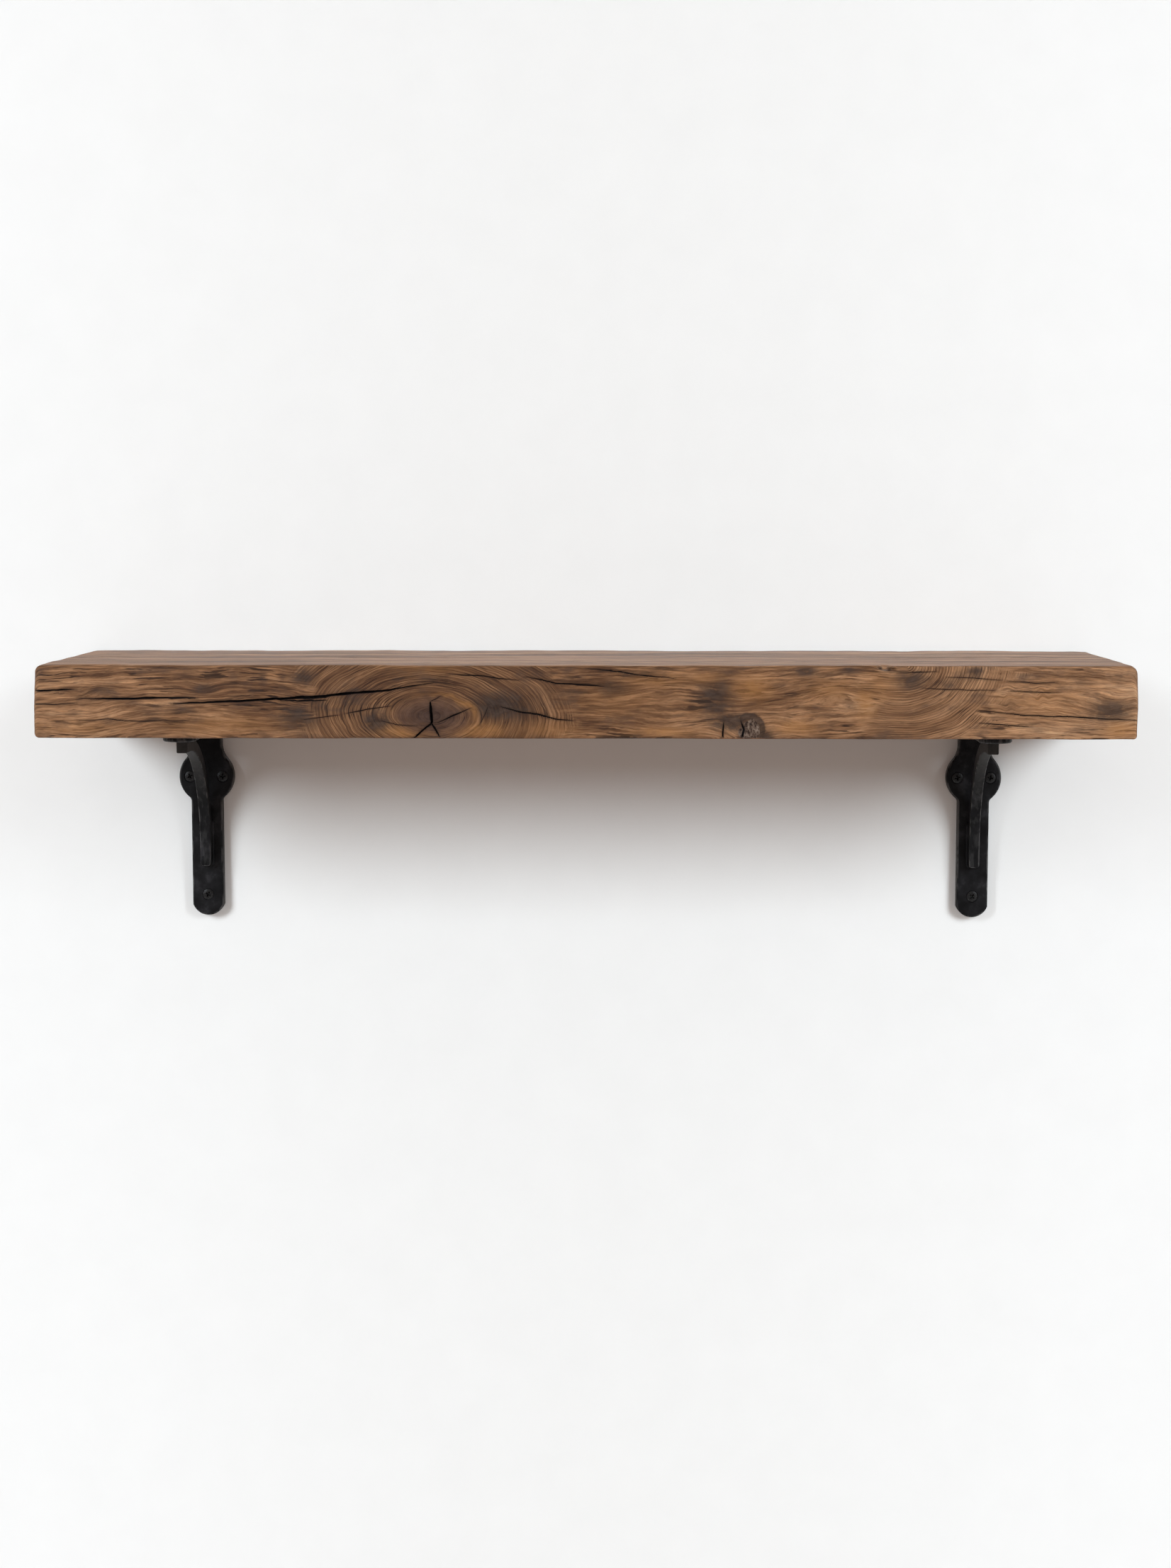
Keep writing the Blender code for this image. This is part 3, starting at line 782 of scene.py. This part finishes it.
def weld(name, side, path, normal, across):
    """A rippled fillet weld along a path; normal leaves the strap, across leaves the bar."""
    mesh = bmesh.new()
    corner = Vector((side, 0, UNDERSIDE))
    places = []
    for start, end, side_start, side_end in zip(path, path[1:], across, across[1:]):
        count = max(2, int((end - start).length * WELD_STEPS_PER_MM))
        for i in range(count):
            t = i / count
            places.append((start.lerp(end, t), side_start.lerp(side_end, t).normalized()))
    places.append((path[-1], across[-1].normalized()))
    rings = []
    for index, (point, out) in enumerate(places):
        end_taper = min(1, (index + 0.6) / 4, (len(places) - 0.4 - index) / 4)
        ripple = 1 + 0.035 * sin(index * 1.1) + 0.07 * sin(index * 0.31 + side)
        size = WELD_SIZE * ripple * sqrt(end_taper)
        ring = []
        for step in range(7):
            angle = step / 6 * pi / 2
            bulge = size * (0.86 + 0.1 * sin(2 * angle))
            place = point + out * (bulge * cos(angle)) + normal * (bulge * sin(angle))
            ring.append(mesh.verts.new((corner + place) * MM))
        ring.append(mesh.verts.new((corner + point) * MM))
        rings.append(ring)
    skin(mesh, rings)
    made = object_from(name, mesh, 60)
    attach(made, "root")
    return made


def welds(side):
    """Fillets round the bar's foot on the wall leg and along its nose under the shelf leg."""
    prefix = side_name(side)
    foot, nose = BRACE_LOW[2] - UNDERSIDE, BRACE_LOW[1]
    face_y, face_z = -STRAP_THICKNESS, -LEG_GAP - STRAP_THICKNESS
    left, right, down, forward = (Vector(v) for v in ((-1, 0, 0), (1, 0, 0), (0, 0, -1), (0, -1, 0)))
    edge = BAR_HALF - 0.2
    foot_top = foot + FOOT_WELD_RUN
    loop = [(-edge, foot_top), (-edge, foot + 1.6), (-edge + 1.6, foot + 0.2)]
    loop += [(edge - 1.6, foot + 0.2), (edge, foot + 1.6), (edge, foot_top)]
    path = [Vector((x, face_y, z)) for x, z in loop]
    across = [left, left, down, down, right, right]
    made = [weld(prefix + "_foot_weld", side, path, forward, across)]
    for name, sign, out in (("a", -1, left), ("b", 1, right)):
        run = [Vector((sign * edge, nose + d, face_z)) for d in (1.5, NOSE_WELD_RUN)]
        made.append(weld(f"{prefix}_nose_weld_{name}", side, run, down, [out, out]))
    return made


THREAD_PITCH = 2.1
CORE_RADIUS = 1.75
NECK_RADIUS = SHANK_RADIUS - 0.1
NECK_LENGTH, POINT_LENGTH = 7, 7.0
SCREW_SEGMENTS, RINGS_PER_TURN = 24, 6
CROSS_ARM, CROSS_SLOT, CROSS_DEPTH = 2.55, 0.52, 2.3


def screw_shape(length):
    """A wood screw's body from its head at 0 down: rim, countersunk cone, neck, thread and point."""
    mesh = bmesh.new()
    cone = HEAD_RADIUS - SHANK_RADIUS
    plain = cone + NECK_LENGTH
    turns = [2 * pi * i / SCREW_SEGMENTS for i in range(SCREW_SEGMENTS)]

    def ring(height, radii):
        points = [Vector((r * cos(t), r * sin(t), height)) for r, t in zip(radii, turns)]
        return [mesh.verts.new(p * MM) for p in points]

    profile = [(0, HEAD_RADIUS - 0.28), (-0.09, HEAD_RADIUS - 0.06), (-0.3, HEAD_RADIUS)]
    profile += [(-cone + 0.15, SHANK_RADIUS + 0.25), (-cone - 0.35, NECK_RADIUS), (-plain, NECK_RADIUS)]
    rings = [ring(height, [radius] * SCREW_SEGMENTS) for height, radius in profile]
    count = int((length - plain - 1) / THREAD_PITCH * RINGS_PER_TURN)
    for k in range(1, count + 1):
        depth = plain + (length - plain - 0.8) * k / count
        taper = min(1, (length - depth) / POINT_LENGTH)
        core = CORE_RADIUS + (NECK_RADIUS - CORE_RADIUS) * (1 - min(1, k / 5))
        phases = [(depth / THREAD_PITCH + i / SCREW_SEGMENTS) % 1 for i in range(SCREW_SEGMENTS)]
        crests = [max(0, 1 - abs(phase - 0.5) * 2.6) for phase in phases]
        rings.append(ring(-depth, [max(0.12, (core + (SHANK_RADIUS - core) * c) * taper) for c in crests]))
    skin(mesh, rings)
    return mesh


def cross_shape(start_angle):
    """The tapered cross that is cut from a screw's head."""
    mesh = bmesh.new()
    arm, slot = CROSS_ARM, CROSS_SLOT
    outline = [(arm, -slot), (arm + 0.12, 0), (arm, slot), (slot + 0.25, slot + 0.25)]
    turns = [Matrix.Rotation(q * pi / 2 + start_angle, 3, "Z") for q in range(4)]
    around = [turn @ Vector((x, y, 0)) for turn in turns for x, y in outline]
    layers = []
    for height, scale in ((0.5, 1.1), (-0.15, 0.97), (-CROSS_DEPTH * 0.75, 0.6), (-CROSS_DEPTH, 0.2)):
        layers.append([mesh.verts.new(Vector((p.x * scale, p.y * scale, height)) * MM) for p in around])
    skin(mesh, layers)
    return mesh


def screw(name, place, length, start_angle):
    """A wood screw with its cross recess, set in place."""
    made = object_from(name + "_steel", screw_shape(length), 40)
    cut_out(made, object_from("recess_tool", cross_shape(start_angle)), 40)
    made.matrix_world = place
    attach(made, "root")
    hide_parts(name)
    return made


# ---- materials


class Nodes:
    """Short calls for building one node tree; most give back the new node's output."""

    def __init__(self, owner, shader="Principled BSDF"):
        owner.use_nodes = True
        self.material = owner
        self.tree = owner.node_tree
        self.shader = self.tree.nodes[shader]

    def put(self, socket, value):
        if isinstance(value, bpy.types.NodeSocket):
            self.tree.links.new(value, socket)
        elif socket.type == "RGBA":
            socket.default_value = (*value, 1)
        else:
            socket.default_value = value

    def shade(self, name, value):
        self.put(self.shader.inputs[name], value)

    def new(self, kind, inputs=(), **settings):
        """A node with its settings, and its inputs by name or number."""
        made = self.tree.nodes.new("ShaderNode" + kind)
        for name, value in settings.items():
            setattr(made, name, value)
        for name, value in dict(inputs).items():
            self.put(made.inputs[name], value)
        return made

    @cached_property
    def place(self):
        """Object coordinates in millimetres."""
        return self.scaled(self.new("TexCoord").outputs["Object"], (1000, 1000, 1000))

    def attribute(self, name):
        return self.new("Attribute", attribute_name=name).outputs["Fac"]

    def math(self, operation, *values):
        return self.new("Math", enumerate(values), operation=operation).outputs[0]

    def times(self, first, second):
        return self.math("MULTIPLY", first, second)

    def line(self, value, slope, start):
        """value times slope, plus start."""
        return self.math("MULTIPLY_ADD", value, slope, start)

    def pushed(self, value, noise, amount):
        """value moved up and down by a noise of 0 to 1, through `amount` in all."""
        return self.line(self.math("SUBTRACT", noise, 0.5), amount, value)

    def scaled(self, vector, factors):
        return self.new("VectorMath", {0: vector, 1: factors}, operation="MULTIPLY").outputs[0]

    def noise(self, per_mm, detail=2.0, roughness=0.5, w=None):
        """Noise with about this many lumps per millimetre, in all directions or on each axis."""
        factors = per_mm if isinstance(per_mm, tuple) else (per_mm, per_mm, per_mm)
        vector = self.scaled(self.place, factors)
        inputs = {"Vector": vector, "Scale": 1, "Detail": detail, "Roughness": roughness}
        if w is None:
            return self.new("TexNoise", inputs).outputs["Fac"]
        return self.new("TexNoise", {**inputs, "W": w}, noise_dimensions="4D").outputs["Fac"]

    def step(self, value, low, high, to_low=0.0, to_high=1.0):
        """A smooth step of value between low and high."""
        inputs = {"Value": value, "From Min": low, "From Max": high, "To Min": to_low, "To Max": to_high}
        return self.new("MapRange", inputs, interpolation_type="SMOOTHSTEP").outputs[0]

    def blend(self, share, first, second):
        """A number between first and second."""
        return self.new("Mix", {0: share, 2: first, 3: second}, data_type="FLOAT").outputs[0]

    def mix(self, share, first, second, blend="MIX"):
        """A colour between first and second."""
        inputs = {0: share, 6: first, 7: second}
        return self.new("Mix", inputs, data_type="RGBA", blend_type=blend).outputs[2]

    def ramp(self, value, *stops):
        """Colours along value; each stop is (position, red, green, blue)."""
        made = self.new("ValToRGB", {0: value})
        elements = made.color_ramp.elements
        while len(elements) < len(stops):
            elements.new(0.5)
        for element, (position, *colour) in zip(elements, stops):
            element.position = position
            element.color = (*colour, 1)
        return made.outputs[0]

    def bump(self, height, strength, distance_mm, under=None):
        made = self.new("Bump", {"Strength": strength, "Distance": distance_mm * MM, "Height": height})
        if under is not None:
            self.put(made.inputs["Normal"], under)
        return made.outputs[0]


RING_BROWN = (0.035, 0.018, 0.012)
CHECK_BROWN = (0.035, 0.019, 0.013)
PORE_BROWN = (0.04, 0.022, 0.015)
WEATHERED = (0.075, 0.05, 0.04)
STAIN_DARK, STAIN_PALE = (0.026, 0.018, 0.016), (0.066, 0.046, 0.038)
GLOW = (0.45, 0.21, 0.07)
HEART_DARK, HEART_PALE = (0.04, 0.022, 0.02), (0.1, 0.055, 0.042)
END_GRAIN = (0.2, 0.115, 0.07)
# the next colour paints grime and also the painted shadow along the top's back edge
GRIME_AND_SHADE = (0.04, 0.023, 0.016)
# the next colour is painted shade inside the cracks
CRACK_SHADE = (0.006, 0.004, 0.004)
PLAIN_SPACING = 2.3  # between dark rings in the straight grain


def base_colour(m, broad, streak, bands, shown):
    """Broad tones of the grain: the front's by its streaks, the top's by longer bands, made paler partly
    as painted grazing-angle sheen.
    """
    heart = m.attribute("heart")
    calm = m.line(m.math("MAXIMUM", shown, heart), -0.6, 1.0)
    calm = m.times(calm, m.line(heart, -0.6, 1.0))
    mixed = m.line(broad, 0.45, m.times(m.pushed(0.5, streak, calm), 0.55))
    mixed = m.line(shown, 0.02, mixed)
    mixed = m.line(m.attribute("tone"), 0.085, mixed)
    front_colour = m.ramp(
        mixed,
        (0.33, 0.048, 0.023, 0.0135),
        (0.43, 0.125, 0.061, 0.032),
        (0.52, 0.258, 0.134, 0.068),
        (0.61, 0.395, 0.217, 0.115),
        (0.74, 0.54, 0.33, 0.188),
    )
    flat = m.line(bands, 0.62, m.times(streak, 0.38))
    # the top's own colours: its grain bands, paler partly as painted grazing-angle sheen
    top_colours_with_sheen = (0.38, 0.08, 0.038, 0.02), (0.5, 0.238, 0.126, 0.065), (0.62, 0.405, 0.236, 0.136)
    return m.mix(m.attribute("top"), front_colour, m.ramp(flat, *top_colours_with_sheen))


def growth_lines(m, ring, bent, shown):
    """Dark growth rings, and how strongly they show: most round the knot and in the arcs."""

    def lines(value, spacing):
        turn = m.times(value, 2 * pi / spacing)
        return m.math("POWER", m.line(m.math("COSINE", turn), -0.5, 0.5), 2.5)

    line = m.blend(shown, lines(ring, PLAIN_SPACING), lines(bent, BENT_SPACING))
    patchy = m.step(m.noise((0.03, 0.03, 0.06), 2), 0.35, 0.62)
    strength = m.line(shown, 0.4, m.times(patchy, 0.14))
    strength = m.times(strength, m.line(m.attribute("heart"), -0.85, 1.0))
    strength = m.times(strength, m.line(m.attribute("top"), -0.85, 1.0))
    return line, m.math("MAXIMUM", strength, m.times(m.attribute("end"), 0.5))


def stained(m, colour):
    """Weathered, dark and warm patches, the knots, the ends, grime with a painted shadow along the top's
    back edge, and the cracks, painted near black as shade.
    """
    top, heart = m.attribute("top"), m.attribute("heart")
    grey = m.step(m.noise((0.035, 0.035, 0.075), 4, 0.6), 0.5, 0.72, 0.0, 0.6)
    colour = m.mix(m.times(grey, m.line(top, -0.5, 1.0)), colour, WEATHERED)
    mottle = m.noise((0.13, 0.13, 0.22), 4, 0.65)
    stain = m.times(m.attribute("dark"), m.step(mottle, 0.25, 0.65, 0.7, 1.25))
    stain_colour = m.mix(m.step(mottle, 0.35, 0.7), STAIN_DARK, STAIN_PALE)
    colour = m.mix(m.step(stain, 0.05, 0.9, 0.0, 0.86), colour, stain_colour)
    glow = m.times(m.attribute("warm"), m.step(mottle, 0.2, 0.6, 0.5, 1.0))
    colour = m.mix(m.times(glow, 0.62), colour, GLOW)
    heart_colour = m.mix(m.step(mottle, 0.3, 0.7), HEART_DARK, HEART_PALE)
    colour = m.mix(m.times(heart, 0.62), colour, heart_colour)
    colour = m.mix(m.times(m.attribute("end"), 0.5), colour, END_GRAIN)
    crumbs = m.noise((0.45, 0.45, 0.25), 4, 0.7)
    crusts = (0.38, 0.014, 0.009, 0.008), (0.5, 0.1, 0.062, 0.045), (0.66, 0.27, 0.2, 0.155)
    colour = m.mix(m.step(m.attribute("knot"), 0.2, 0.8), colour, m.ramp(crumbs, *crusts))
    # grime, and the painted shadow along the top's back edge
    colour = m.mix(m.times(m.attribute("grime"), 0.55), colour, GRIME_AND_SHADE)
    # the cracks' openings are painted near black as shade in the gaps
    return m.mix(m.step(m.attribute("opening"), 0.3, 0.8), colour, CRACK_SHADE)


def oak():
    """Weathered oak whose grain follows the board's ring attributes."""
    m = Nodes(bpy.data.materials.new("weathered_oak"))
    wobble = m.noise((0.035, 0.08, 0.11), 3)
    ring = m.pushed(m.attribute("ring"), wobble, 3.2)
    bent = m.pushed(m.attribute("bent"), wobble, 1.6)
    edge_noise = m.noise((0.05, 0.05, 0.12), 3)
    shown = m.step(m.pushed(m.attribute("figure"), edge_noise, 1.5), 0.25, 0.75)

    def along(step_mm, ring_mm, detail=3.0, roughness=0.55, bent_mm=None):
        """Noise drawn out along the grain: step_mm long and ring_mm across the rings."""
        plain = m.noise(1 / step_mm, detail, roughness, m.times(ring, 1 / ring_mm))
        curved = m.noise(1 / step_mm, detail, roughness, m.times(bent, 1 / (bent_mm or ring_mm)))
        return m.blend(shown, plain, curved)

    streak = along(36, 1.25, 4, 0.62, 0.85)
    fibre = along(16, 0.42, 3, 0.6)
    colour = base_colour(m, along(95, 7.0), streak, along(220, 11.0, 4, 0.6), shown)
    line, strength = growth_lines(m, ring, bent, shown)
    colour = m.mix(m.times(line, strength), colour, RING_BROWN)

    # fine dark checks in patches, single fibres, and short pores
    check = m.step(along(26, 1.1, 2, 0.5, 0.8), 0.562, 0.612, 0.0, 0.9)
    check = m.times(check, m.step(m.noise((0.02, 0.02, 0.045), 3), 0.38, 0.58, 0.25, 1.0))
    check = m.times(check, m.line(m.attribute("top"), -0.6, 1.0))
    colour = m.mix(check, colour, CHECK_BROWN)
    fibres = (0.36, 0.3, 0.27, 0.25), (0.5, 0.5, 0.5, 0.5), (0.66, 0.74, 0.71, 0.66)
    colour = m.mix(0.9, colour, m.ramp(fibre, *fibres), "OVERLAY")
    pore = m.step(along(7, 0.3, 2), 0.62, 0.7, 0.0, 0.5)
    colour = m.mix(pore, colour, PORE_BROWN)

    m.shade("Base Color", stained(m, colour))
    m.shade("Roughness", m.line(streak, 0.2, 0.52))
    m.shade("Specular IOR Level", 0.12)
    relief = m.line(fibre, 0.6, m.times(line, -0.2))
    relief = m.line(pore, -0.6, m.line(check, -1.0, relief))
    m.shade("Normal", m.bump(m.noise(1.3, 4, 0.7), 0.2, 0.25, m.bump(relief, 0.6, 0.4)))
    return m.material


def iron():
    """Black scale, paler at worn edges, which also stand in for their highlights, and with a painted
    reflection on the bar's outer face.
    """
    m = Nodes(bpy.data.materials.new("black_iron"))
    cloud = m.noise(0.055, 4, 0.6)
    speck = m.noise(0.55, 4, 0.65)
    blacks = (0.35, 0.0024, 0.0023, 0.0027), (0.55, 0.0085, 0.0082, 0.0094), (0.72, 0.026, 0.0252, 0.0284)
    colour = m.ramp(cloud, *blacks)
    dust = m.step(m.times(cloud, speck), 0.27, 0.42, 0.0, 0.25)
    colour = m.mix(dust, colour, (0.035, 0.034, 0.036))
    scale_marks = m.noise((0.25, 0.25, 0.07), 3)
    # worn edges are paler, and the paleness is raised to also paint the edges' highlights
    worn = m.times(m.attribute("edge"), m.step(scale_marks, 0.35, 0.65, 0.3, 1.0))
    colour = m.mix(m.step(worn, 0.35, 1.0, 0.0, 0.6), colour, (0.11, 0.107, 0.107))
    # painted reflection on the bar's outer face, fading towards the foot
    painted_reflection = m.times(m.attribute("painted_reflection"), m.step(speck, 0.3, 0.7, 0.7, 1.0))
    m.shade("Base Color", m.mix(painted_reflection, colour, (0.052, 0.051, 0.05)))
    m.shade("Specular IOR Level", 0.11)
    m.shade("Roughness", m.line(cloud, 0.12, m.line(speck, 0.2, 0.28)))
    m.shade("Normal", m.bump(speck, 0.22, 0.1, m.bump(m.noise(0.16, 3), 0.3, 0.4)))
    return m.material


def steel():
    """Darkened steel with faint bright specks."""
    m = Nodes(bpy.data.materials.new("darkened_steel"))
    speck = m.noise(0.9, 4, 0.65)
    greys = (0.38, 0.006, 0.006, 0.0065), (0.55, 0.018, 0.0175, 0.018), (0.7, 0.075, 0.072, 0.07)
    m.shade("Base Color", m.ramp(speck, *greys))
    m.shade("Metallic", 0.7)
    m.shade("Roughness", m.line(m.noise((0.5, 0.5, 3.0), 2), 0.25, 0.24))
    m.shade("Normal", m.bump(speck, 0.3, 0.1))
    return m.material


# ---- stage, light and camera

WALL_SIZE_M = 9.0
WALL_BEHIND_M = 0.0002
FLOOR_DROP_M = 1.35


def stage_sheet(name, corners):
    """A flat sheet; it faces the side from which its corners run anticlockwise."""
    data = bpy.data.meshes.new(name)
    data.from_pydata(corners, [], [(0, 1, 2, 3)])
    return link_new(name, data)


def stage_paint(name, channel, darker, lighter):
    """Clouded paint on one channel of the shader, clear where it is seen from behind."""
    m = Nodes(bpy.data.materials.new(name))
    m.shade(channel, m.mix(m.noise(0.02, 3), darker, lighter))
    backfacing = m.new("NewGeometry").outputs["Backfacing"]
    clear = m.new("BsdfTransparent").outputs[0]
    choose = m.new("MixShader", {0: backfacing, 1: m.shader.outputs[0], 2: clear})
    m.put(m.tree.nodes["Material Output"].inputs["Surface"], choose.outputs[0])
    return m


def hide_from(made, *rays):
    for ray in rays:
        setattr(made, "visible_" + ray, False)


def stage():
    """A plain wall and a plain pale floor that lights itself."""
    half, low, back = WALL_SIZE_M / 2, -FLOOR_DROP_M, WALL_BEHIND_M
    wall = [(-half, back, low), (half, back, low), (half, back, half), (-half, back, half)]
    wall_object = stage_sheet("stage_wall", wall)
    hide_from(wall_object, "diffuse", "shadow", "transmission", "volume_scatter")
    m = stage_paint("plain_wall", "Base Color", (0.86, 0.86, 0.855), (0.9, 0.9, 0.895))
    m.shade("Roughness", 0.9)
    wall_object.data.materials.append(m.material)

    floor = [(-half, -half, low), (half, -half, low), (half, half, low), (-half, half, low)]
    floor_object = stage_sheet("stage_floor", floor)
    hide_from(floor_object, "diffuse")
    m = stage_paint("pale_floor", "Emission Color", (0.8, 0.8, 0.795), (0.84, 0.84, 0.835))
    m.shade("Base Color", (0, 0, 0))
    m.shade("Emission Strength", 1)
    m.shade("Roughness", 1)
    m.shade("Specular IOR Level", 0)
    floor_object.data.materials.append(m.material)


KEY_ELEVATION, KEY_AZIMUTH, KEY_SPREAD = 21, 37, 25  # degrees
KEY_STRENGTH = 2.9
KEY_COLOUR = (0.946, 1.033, 1.082)
BACK_ELEVATION, BACK_AZIMUTH, BACK_SPREAD = 35, 180, 40  # degrees
BACK_STRENGTH = 0.9
FILL_COLOUR, FILL_STRENGTH = (1.11, 0.92, 0.82), 0.33
BACKDROP_COLOUR, BACKDROP_STRENGTH = (1, 1, 1), 0.86
FLAG_DISTANCE_M = 2.2
FLAG_SIZE_M = 12.0
FLAG_OVERLAP_M = 0.07


def sun(name, elevation, azimuth, strength, spread):
    """A broad soft light; azimuth 0 comes from straight in front and turns to the right."""
    light = bpy.data.lights.new(name, "SUN")
    light.energy = strength
    light.angle = radians(spread)
    made = link_new(name, light)
    made.rotation_euler = (radians(90 - elevation), 0, radians(azimuth))
    return made


def flag(side):
    """A studio flag, unseen itself, that keeps the light of one side off the wall's far end."""
    edge = side * (FLAG_DISTANCE_M * tan(radians(KEY_AZIMUTH)) - FLAG_OVERLAP_M)
    far = edge - side * FLAG_SIZE_M
    corners = [(edge, -FLAG_SIZE_M), (far, -FLAG_SIZE_M), (far, FLAG_SIZE_M), (edge, FLAG_SIZE_M)]
    made = stage_sheet("stage_flag_" + side_name(side), [(x, -FLAG_DISTANCE_M, z) for x, z in corners])
    hide_from(made, "camera", "diffuse", "glossy", "transmission", "volume_scatter")
    return made


def pass_flags(light, flags):
    """Let a light through these flags as if they weren't there."""
    ignored = bpy.data.collections.new(light.name + "_passes")
    for number, sheet in enumerate(flags):
        ignored.objects.link(sheet)
        ignored.collection_objects[number].light_linking.link_state = "EXCLUDE"
    light.light_linking.blocker_collection = ignored


def lights():
    """Two broad lights, each mostly on its own half of the shelf, one behind, and a warm fill."""
    flags = {side: flag(side) for side in (-1, 1)}
    for side in (-1, 1):
        key = sun("key_" + side_name(side), KEY_ELEVATION, side * KEY_AZIMUTH, KEY_STRENGTH, KEY_SPREAD)
        key.data.color = KEY_COLOUR
        pass_flags(key, [flags[-side]])
    back = sun("back_fill", BACK_ELEVATION, BACK_AZIMUTH, BACK_STRENGTH, BACK_SPREAD)
    pass_flags(back, flags.values())

    world = bpy.data.worlds.new("studio")
    m = Nodes(world, "Background")
    seen = m.new("LightPath").outputs["Is Camera Ray"]
    m.shade("Color", m.mix(seen, FILL_COLOUR, BACKDROP_COLOUR))
    m.shade("Strength", m.blend(seen, FILL_STRENGTH, BACKDROP_STRENGTH))
    bpy.context.scene.world = world


CAMERA_AT_M = (0.0433, -2.3195, 0.1247)
CAMERA_TILT, CAMERA_TURN = 6.091, 1.153  # degrees down and to the left
CAMERA_LENS = 58.16


def camera():
    """Where the shelf is seen from: just above its top, a little right of the middle."""
    data = bpy.data.cameras.new("camera")
    data.sensor_width = 36
    data.lens = CAMERA_LENS
    data.clip_start, data.clip_end = 0.05, 50
    made = link_new("camera", data)
    made.location = CAMERA_AT_M
    made.rotation_euler = (radians(90 - CAMERA_TILT), 0, radians(CAMERA_TURN))
    bpy.context.scene.camera = made


def paint(made, material):
    made.data.materials.clear()
    made.data.materials.append(material)


def build():
    """Every piece, the stage, the lights and the camera."""
    made = board()
    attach(made, "root")
    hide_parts("shelf_board")
    paint(made, oak())
    black, dark_steel = iron(), steel()
    for side in (-BRACKET_X, BRACKET_X):
        for piece in [strap(side), brace(side), *welds(side)]:
            paint(piece, black)
        for number, (name, place, length) in enumerate(screw_places(side)):
            paint(screw(name, place, length, 0.35 + number * 1.1 + side), dark_steel)
    stage()
    lights()
    camera()
    bpy.context.scene.view_settings.view_transform = "Standard"


build()
